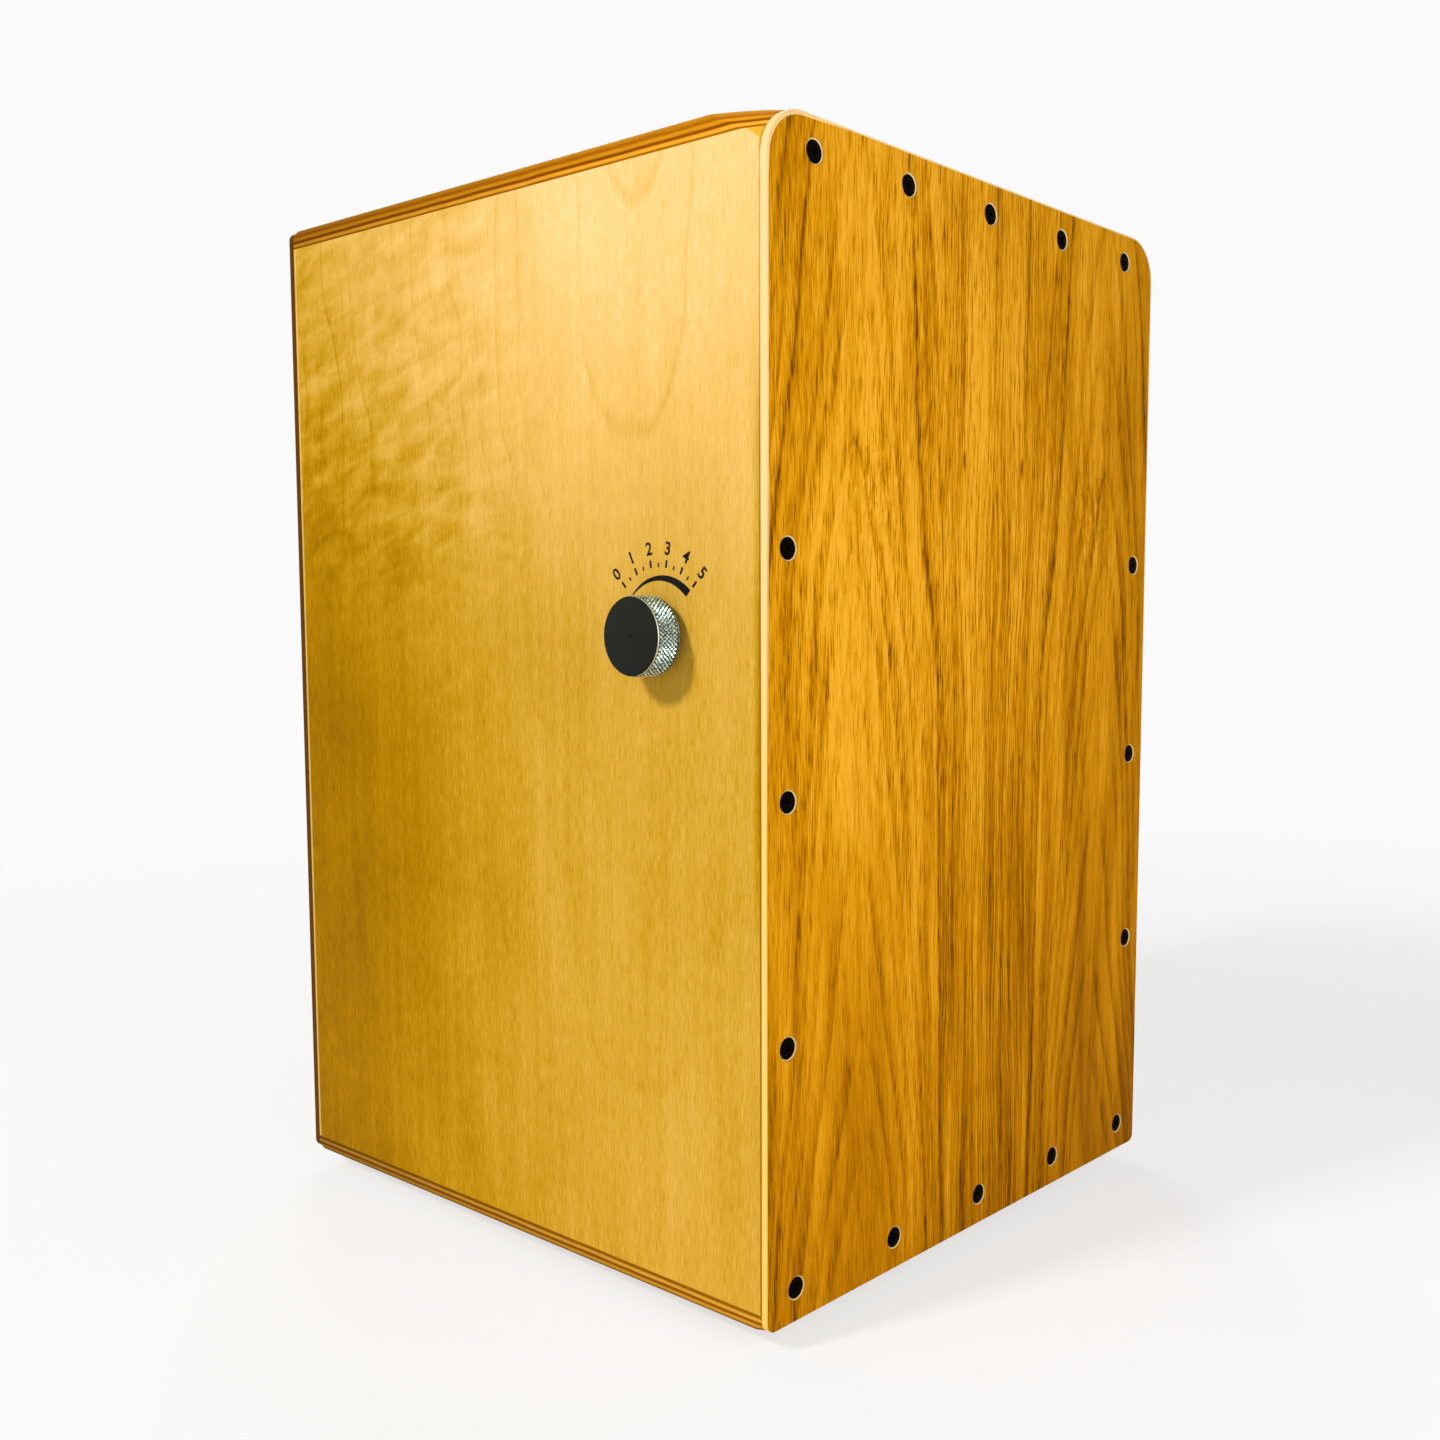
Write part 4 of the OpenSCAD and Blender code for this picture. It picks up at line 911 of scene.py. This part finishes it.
def knob_rim():
    """The turned front and back of the rim, and the knurl between them."""
    valley_r = KNOB_R - KNURL_DEPTH
    seat_r = CAP_R + SEAT_SPARE
    knurl_end = KNOB_LENGTH - BACK_BEVEL
    bore_end = KNOB_LENGTH - BORE_DEPTH
    front = [
        (0, CAP_DEPTH), (seat_r, CAP_DEPTH), (seat_r, 0), (KNOB_R - KNOB_BEVEL, 0), (valley_r, KNOB_BEVEL),
    ]
    back = [
        (valley_r, knurl_end), (KNOB_R - BACK_BEVEL, KNOB_LENGTH), (BORE_R, KNOB_LENGTH),
        (BORE_R, bore_end), (0, bore_end),
    ]
    bm = bmesh.new()
    turn(bm, front, KNURL_COLUMNS)
    turn(bm, back, KNURL_COLUMNS)
    ends = bpy.data.meshes.new("knob_ends")
    bm.to_mesh(ends)
    bm.free()
    grown = grow(
        knurl_tree(), ends,
        {
            "Valley radius": valley_r, "Depth": KNURL_DEPTH, "Start": KNOB_BEVEL, "End": knurl_end,
            "Columns": KNURL_COLUMNS, "Rows": KNURL_ROWS, "Hole radius": GRUB_HOLE_R,
            "Hole at": KNOB_LENGTH - BORE_DEPTH / 2, "Finish": nickel,
        },
    )
    rim = finished(grown, "knurled_rim", KNOB_AXES, KNURL_SOFT)
    show("knurled_rim", rim, nickel, "snare_shaft", ["knob_rim"])


def knob_cap():
    """A flat cap with a rounded edge, and a dimple in its middle."""
    bm = bmesh.new()
    profile = [
        (0, DIMPLE_DEPTH), (DIMPLE_R[0], DIMPLE_DEPTH), (DIMPLE_R[1], 0), (CAP_R - CAP_EDGE, 0),
        (CAP_R - 0.3 * CAP_EDGE, 0.3 * CAP_EDGE), (CAP_R, CAP_EDGE), (CAP_R, CAP_DEPTH), (0, CAP_DEPTH),
    ]
    turn(bm, profile, CAP_STEPS)
    cap = finished(bm, "dimpled_cap", KNOB_AXES)
    show("dimpled_cap", cap, cap_plastic, "snare_shaft", ["knob_cap"])


# The tapa's screws, their Z axis from the dome to the tip
SCREW_R = 4.6 * MM
SHANK_R = 2.0 * MM
SCREW_LENGTH = 18.0 * MM
SCREW_DOME = 0.5 * MM
SCREW_POINT = 4.0 * MM
SCREW_STEPS = 40
DOME_STEPS = 6
SLOT = (4.4 * MM, 1.0 * MM, 1.7 * MM)
SLOT_TAPER = 0.45
SLOT_ABOVE = 0.05 * MM
SCREW_SEED = 5
TIP_SPARE = 0.01 * MM


def screw_tree():
    """A cross recess cut in a screw, and the screw set with its tip on points, each turned by chance."""
    tree, given = group(
        "screws",
        {
            "Screw": "Object", "Slot": "Vector", "Slot taper": "Float", "Top": "Float",
            "Seed": "Int", "Finish": "Material",
        },
    )
    blank = add(tree, "GeometryNodeObjectInfo", {"Object": given["Screw"]}, give="Geometry")
    depth = add(tree, SPLIT, {"Vector": given["Slot"]}, give="Z")
    wing = add(tree, "GeometryNodeMeshCube", {"Size": given["Slot"]}, give="Mesh")
    x, y, z = add(tree, SPLIT, {"Vector": add(tree, "GeometryNodeInputPosition")}, give=None)
    low = add(tree, MATH, {0: z}, operation="SIGN")
    shrink = add(tree, RANGE, {0: low}, span=(-1.0, 1.0, 1.0, given["Slot taper"]))
    half_deep = add(tree, MATH, {0: depth, 1: 0.5, 2: given["Top"]}, operation="MULTIPLY_ADD")
    sunk = add(tree, MATH, {0: z, 1: half_deep}, operation="ADD")
    narrowed = add(tree, VECTOR, {0: add(tree, JOIN, {"X": x, "Y": y}), "Scale": shrink}, operation="SCALE")
    lowered = add(tree, JOIN, {"Z": sunk})
    shaped = add(tree, VECTOR, {0: narrowed, 1: lowered}, operation="ADD")
    wing = add(tree, "GeometryNodeSetPosition", {"Geometry": wing, "Position": shaped})
    crossed = add(tree, "GeometryNodeTransform", {"Geometry": wing, "Rotation": (0, 0, QUARTER)})
    cut = add(
        tree, "GeometryNodeMeshBoolean", {"Mesh 1": blank, "Mesh 2": [wing, crossed]},
        operation="DIFFERENCE", solver="EXACT",
    )
    angles = {2: 0.0, 3: math.tau, "Seed": given["Seed"]}
    chance = add(tree, "FunctionNodeRandomValue", angles, give=1, data_type="FLOAT")
    turned = add(tree, JOIN, {"X": -QUARTER, "Y": chance})
    rows = add(
        tree, "GeometryNodeInstanceOnPoints",
        {"Points": given["Geometry"], "Instance": cut, "Rotation": turned},
    )
    close(tree, rows, given["Finish"])
    return tree


def screws():
    """Domed screws with a cross recess, at the tips of the frame's own screws."""
    tip_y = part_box("tapa_screws")[1].y
    tips = [v.co for v in nodes["tapa_screws"].data.vertices if tip_y - v.co.y < TIP_SPARE]
    points = bpy.data.meshes.new("screw_tips")
    points.from_pydata([tuple(tip) for tip in tips], [], [])
    dome_r = (SCREW_R**2 + SCREW_DOME**2) / (2 * SCREW_DOME)
    half = math.asin(SCREW_R / dome_r)
    angles = [half * step / DOME_STEPS for step in range(1, DOME_STEPS + 1)]
    top = -SCREW_LENGTH - SCREW_DOME
    dome = [(dome_r * math.sin(a), top + dome_r * (1 - math.cos(a))) for a in angles]
    neck = SCREW_R - SHANK_R - SCREW_LENGTH
    bm = bmesh.new()
    turn(bm, [(0, top), *dome, (SHANK_R, neck), (SHANK_R, -SCREW_POINT), (0, 0)], SCREW_STEPS)
    blank = bpy.data.objects.new("screw_blank", finished(bm, "screw_blank"))
    scene.collection.objects.link(blank)
    grown = grow(
        screw_tree(), points,
        {
            "Screw": blank, "Slot": SLOT, "Slot taper": SLOT_TAPER, "Top": top - SLOT_ABOVE,
            "Seed": SCREW_SEED, "Finish": black_steel,
        },
    )
    bpy.data.objects.remove(blank)
    rows = finished(grown, "cross_head_screws")
    show("cross_head_screws", rows, black_steel, "cabinet", ["tapa_screws"])


# The snares, Y along their strands and Z out of the dowel's flat
SNARE_LEAN = 43
SNARE_OFFSET = 55 * MM
SNARE_SOFT = 70
STRANDS = 10
STRAND_PITCH = 5.0 * MM
STRAND_START = 11.1 * MM
COIL_R = 1.1 * MM
COIL_PITCH = 1.3 * MM
COIL_STEPS = 10
WIRE_R = 0.22 * MM
WIRE_STEPS = 6
STRIP_THICKNESS = 1.0 * MM
STRIP_MARGIN = 3.0 * MM
FLAT_FROM_AXIS = 8.0 * MM
ROOT_STRIP = (-6.0 * MM, 15.0 * MM)
TIP_STRIP_LENGTH = 6.0 * MM


def snare_tree():
    """A row of coiled wire strands between a root strip and a tip strip."""
    tree, given = group(
        "snare",
        {
            "Strands": "Int", "Pitch": "Float", "Coil radius": "Float", "Wire radius": "Float",
            "Coil pitch": "Float", "Start": "Float", "End": "Float", "Strip": "Vector", "Level": "Float",
            "Root": "Float", "Root middle": "Float", "Tip": "Float", "Finish": "Material",
        },
    )
    length = add(tree, MATH, {0: given["End"], 1: given["Start"]}, operation="SUBTRACT")
    rounds = add(tree, MATH, {0: length, 1: given["Coil pitch"]}, operation="DIVIDE")
    middle_r = add(tree, MATH, {0: given["Coil radius"], 1: given["Wire radius"]}, operation="SUBTRACT")
    coil = add(
        tree, "GeometryNodeCurveSpiral",
        {
            "Resolution": COIL_STEPS, "Rotations": rounds, "Start Radius": middle_r, "End Radius": middle_r,
            "Height": length,
        },
    )
    section = {"Resolution": WIRE_STEPS, "Radius": given["Wire radius"]}
    wire = add(tree, "GeometryNodeCurvePrimitiveCircle", section)
    strand = add(tree, "GeometryNodeCurveToMesh", {"Curve": coil, "Profile Curve": wire, "Fill Caps": True})
    gaps = add(tree, MATH, {0: given["Strands"], 1: 1.0}, operation="SUBTRACT")
    row_width = add(tree, MATH, {0: gaps, 1: given["Pitch"]}, operation="MULTIPLY")
    first_x = add(tree, MATH, {0: row_width, 1: -0.5}, operation="MULTIPLY")
    first = add(tree, JOIN, {"X": first_x, "Y": given["Start"], "Z": given["Level"]})
    step = add(tree, JOIN, {"X": given["Pitch"]})
    places = add(
        tree, "GeometryNodeMeshLine", {"Count": given["Strands"], "Start Location": first, "Offset": step}
    )
    laid = add(
        tree, "GeometryNodeInstanceOnPoints",
        {"Points": places, "Instance": strand, "Rotation": (-QUARTER, 0, 0)},
    )
    tip_size = add(tree, SPLIT, {"Vector": given["Strip"]}, give=None)
    root_size = add(tree, JOIN, {"X": tip_size["X"], "Y": given["Root"], "Z": tip_size["Z"]})
    strips = []
    for size, middle in ((given["Strip"], given["Tip"]), (root_size, given["Root middle"])):
        strip = add(tree, "GeometryNodeMeshCube", {"Size": size}, give="Mesh")
        place = add(tree, JOIN, {"Y": middle, "Z": given["Level"]})
        strips.append(add(tree, "GeometryNodeTransform", {"Geometry": strip, "Translation": place}))
    whole = add(tree, "GeometryNodeJoinGeometry", {"Geometry": [laid, *strips]})
    close(tree, whole, given["Finish"])
    return tree


def snares():
    """Two sets of coiled strands on the dowel, as long as the frame's own."""
    tree = snare_tree()
    start_mesh = bpy.data.meshes.new("snare_start")
    strip_width = (STRANDS - 1) * STRAND_PITCH + 2 * COIL_R + 2 * STRIP_MARGIN
    for side, node in ((-1, "left_snare"), (1, "right_snare")):
        axes = Matrix.Translation((side * SNARE_OFFSET, shaft.y, shaft.z))
        axes = axes @ Matrix.Rotation(math.radians(180 - SNARE_LEAN), 4, "X")
        flatten = axes.inverted()
        far = max((flatten @ v.co).y for v in nodes[node].data.vertices)
        grown = grow(
            tree, start_mesh,
            {
                "Strands": STRANDS, "Pitch": STRAND_PITCH, "Coil radius": COIL_R, "Wire radius": WIRE_R,
                "Coil pitch": COIL_PITCH, "Start": STRAND_START, "End": far - COIL_R,
                "Strip": (strip_width, TIP_STRIP_LENGTH, STRIP_THICKNESS),
                "Level": FLAT_FROM_AXIS + STRIP_THICKNESS / 2, "Root": ROOT_STRIP[1] - ROOT_STRIP[0],
                "Root middle": (ROOT_STRIP[0] + ROOT_STRIP[1]) / 2, "Tip": far - TIP_STRIP_LENGTH / 2,
                "Finish": snare_wire,
            },
        )
        coils = finished(grown, node + "_coils", axes, SNARE_SOFT)
        show(node + "_coils", coils, snare_wire, "snare_shaft", [node])


# The dial round the knob: a swelling arc, ticks and numbers, printed on the side panel
DIAL_HALF = 45
DIAL_MARKS = 6
ARC_R = 23.0 * MM
ARC_THIN = 0.5 * MM
ARC_THICK = 3.8 * MM
ARC_STEPS = 48
# Inner radius, outer radius and width
TICK = (28.6 * MM, 31.8 * MM, 1.1 * MM)
SMALL_TICK = (28.6 * MM, 30.4 * MM, 0.8 * MM)
NUMBER_R = 36.4 * MM
NUMBER_SIZE = 7.6 * MM
NUMBER_BOLD = 0.16 * MM
NUMBER_STEPS = 4
INK_IN = 0.03 * MM
INK_OUT = 0.05 * MM
DIAL_AXES = Matrix.Translation((side_low.x, shaft.y, shaft.z)) @ Matrix(
    ((0, 0, -1, 0), (-1, 0, 0, 0), (0, 1, 0, 0), (0, 0, 0, 1))
)


def printed(bm, outline):
    """A thin closed layer of ink over a flat outline."""
    low = [bm.verts.new((x, y, -INK_IN)) for x, y in outline]
    high = [bm.verts.new((x, y, INK_OUT)) for x, y in outline]
    count = len(outline)
    bm.faces.new(low)
    bm.faces.new(high)
    for i in range(count):
        bm.faces.new((low[i], low[(i + 1) % count], high[(i + 1) % count], high[i]))


def number(mark, angle):
    """A mesh of one of the dial's numbers, at its angle."""
    letters = bpy.data.curves.new("number", "FONT")
    letters.body = str(mark)
    letters.size = NUMBER_SIZE
    letters.align_x = "CENTER"
    letters.align_y = "CENTER"
    letters.extrude = (INK_IN + INK_OUT) / 2
    letters.offset = NUMBER_BOLD
    letters.resolution_u = NUMBER_STEPS
    holder = bpy.data.objects.new("number", letters)
    flat = bpy.data.meshes.new_from_object(holder)
    bpy.data.objects.remove(holder)
    outwards = Matrix.Translation((0, NUMBER_R, (INK_OUT - INK_IN) / 2))
    flat.transform(Matrix.Rotation(-angle, 4, "Z") @ outwards)
    return flat


def dial():
    """The arc, the ticks and the numbers, as one print."""
    bm = bmesh.new()
    outer, inner = [], []
    for step in range(ARC_STEPS + 1):
        share = step / ARC_STEPS
        angle = math.radians(DIAL_HALF * (2 * share - 1))
        way = Vector((math.sin(angle), math.cos(angle)))
        inner.append(tuple(ARC_R * way))
        outer.append(tuple((ARC_R + ARC_THIN + share * (ARC_THICK - ARC_THIN)) * way))
    printed(bm, outer + inner[::-1])
    for mark in range(2 * DIAL_MARKS - 1):
        start_r, end_r, width = SMALL_TICK if mark % 2 else TICK
        angle = math.radians(DIAL_HALF * (mark / (DIAL_MARKS - 1) - 1))
        turned = Matrix.Rotation(-angle, 2)
        corners = [(-width / 2, start_r), (width / 2, start_r), (width / 2, end_r), (-width / 2, end_r)]
        printed(bm, [tuple(turned @ Vector(c)) for c in corners])
    for mark in range(DIAL_MARKS):
        angle = math.radians(DIAL_HALF * (2 * mark / (DIAL_MARKS - 1) - 1))
        bm.from_mesh(number(mark, angle))
    marks = finished(bm, "dial_marks", DIAL_AXES)
    show("dial_marks", marks, ink, "cabinet")


knob_rim()
knob_cap()
screws()
snares()
dial()


# The photograph's camera, in its own pixels and degrees

PHOTO_WIDTH_PX = 1440
FOCAL_PX = 1510
AXIS_X_PX = 863
AXIS_Y_PX = 749
CAMERA_PLACE = (-0.5854, -0.5752, 0.3076)
CAMERA_TURN = -50.68
CAMERA_DIP = 5.38
CAMERA_ROLL = 0.29
SENSOR_MM = 36


def photo_camera():
    """The camera that took the photograph, with the photograph's frame off its axis."""
    turned, dip, roll = (math.radians(a) for a in (CAMERA_TURN, CAMERA_DIP, CAMERA_ROLL))
    back = Vector((math.sin(turned) * math.cos(dip), -math.cos(turned) * math.cos(dip), math.sin(dip)))
    level = Vector((math.cos(turned), math.sin(turned), 0))
    upright = back.cross(level)
    right = math.cos(roll) * level + math.sin(roll) * upright
    up = math.cos(roll) * upright - math.sin(roll) * level
    lens = bpy.data.cameras.new("photo_camera")
    lens.sensor_width = SENSOR_MM
    lens.lens = FOCAL_PX / PHOTO_WIDTH_PX * SENSOR_MM
    lens.shift_x = (PHOTO_WIDTH_PX / 2 - AXIS_X_PX) / PHOTO_WIDTH_PX
    lens.shift_y = (AXIS_Y_PX - PHOTO_WIDTH_PX / 2) / PHOTO_WIDTH_PX
    camera = bpy.data.objects.new("photo_camera", lens)
    scene.collection.objects.link(camera)
    axes = Matrix((right, up, back)).transposed().to_4x4()
    camera.matrix_world = Matrix.Translation(CAMERA_PLACE) @ axes
    scene.camera = camera


# Light, floor and backdrop: shares of a plain level, at which a colour renders as it is written

AMBIENT = 0.34
BACKDROP = 0.955
FLOOR_R = 1.6
FLOOR_SIDES = 64
FLOOR_GLOW = 0.70
# Distances in mm between which the floor fades out
FLOOR_FADE = (500.0, 1500.0)
# Place, aim, width and share of the plain level
LAMPS = {
    "side_lamp": ((-2.75, 0.68, 2.36), (-0.15, -0.1, 0.3), 0.5, 0.745),
    "front_lamp": ((-0.22, -0.75, 0.42), (-0.11, -0.17, 0.3), 0.35, 0.62),
    "rear_lamp": ((1.6, 2.4, 1.8), (0.1, 0.1, 0.25), 1.2, 0.4),
}


def lamp(name, place, aim, width, share):
    """A square lamp whose light on a face square to it is that share of the plain level, at its aim."""
    light = bpy.data.lights.new(name, "AREA")
    light.size = width
    way = Vector(aim) - Vector(place)
    light.energy = share * math.pi**2 * way.length_squared
    lit = bpy.data.objects.new(name, light)
    lit.location = place
    lit.rotation_euler = way.to_track_quat("-Z", "Y").to_euler()
    lit.visible_camera = False
    scene.collection.objects.link(lit)


def rays_that_look(tree):
    """1 for rays that look at the backdrop: the camera's own, and those through gloss or glass."""
    camera, glossy, through = (
        add(tree, "ShaderNodeLightPath", give=name)
        for name in ("Is Camera Ray", "Is Glossy Ray", "Is Transmission Ray")
    )
    either = add(tree, MATH, {0: camera, 1: glossy}, operation="MAXIMUM")
    return add(tree, MATH, {0: either, 1: through}, operation="MAXIMUM")


def pale_world():
    """An even pale world, brighter to the rays that look at it than as a light."""
    world = bpy.data.worlds.new("studio")
    world.use_nodes = True
    tree = world.node_tree
    tree.nodes.clear()
    looking = rays_that_look(tree)
    strength = add(tree, MATH, {0: looking, 1: BACKDROP - AMBIENT, 2: AMBIENT}, operation="MULTIPLY_ADD")
    light = add(tree, "ShaderNodeBackground", {"Color": grey(1.0), "Strength": strength})
    add(tree, "ShaderNodeOutputWorld", {"Surface": light})
    scene.world = world


def pale_floor():
    """A floor painted pale, which keeps the object's shadow and fades into the world."""
    paint, tree, place = start("pale_floor_paint")
    grain = add(tree, NOISE, {"Vector": place, "Detail": 2.0}, size=(4, 4, 4))
    colour = add(tree, RAMP, {"Fac": grain}, stops=[(0.0, grey(0.86)), (1.0, grey(0.90))])
    matt = add(tree, "ShaderNodeBsdfDiffuse", {"Color": colour})
    glow = add(tree, "ShaderNodeEmission", {"Color": grey(1.0), "Strength": BACKDROP})
    looking = rays_that_look(tree)
    shown = add(tree, MATH, {0: looking, 1: FLOOR_GLOW}, operation="MULTIPLY")
    floor_look = add(tree, "ShaderNodeMixShader", {0: shown, 1: matt, 2: glow})
    far = add(tree, VECTOR, {0: place}, **LENGTH)
    fade = add(tree, RANGE, {0: far}, span=(*FLOOR_FADE, 0.0, 1.0), **SMOOTH)
    clear = add(tree, "ShaderNodeBsdfTransparent")
    surface = add(tree, "ShaderNodeMixShader", {0: fade, 1: floor_look, 2: clear})
    add(tree, "ShaderNodeOutputMaterial", {"Surface": surface})
    bm = bmesh.new()
    bmesh.ops.create_circle(bm, cap_ends=True, segments=FLOOR_SIDES, radius=FLOOR_R)
    mesh = bpy.data.meshes.new("floor")
    bm.to_mesh(mesh)
    bm.free()
    mesh.materials.append(paint)
    floor = bpy.data.objects.new("floor", mesh)
    scene.collection.objects.link(floor)


photo_camera()
pale_world()
pale_floor()
for name, settings in LAMPS.items():
    lamp(name, *settings)

scene.view_settings.view_transform = "Standard"
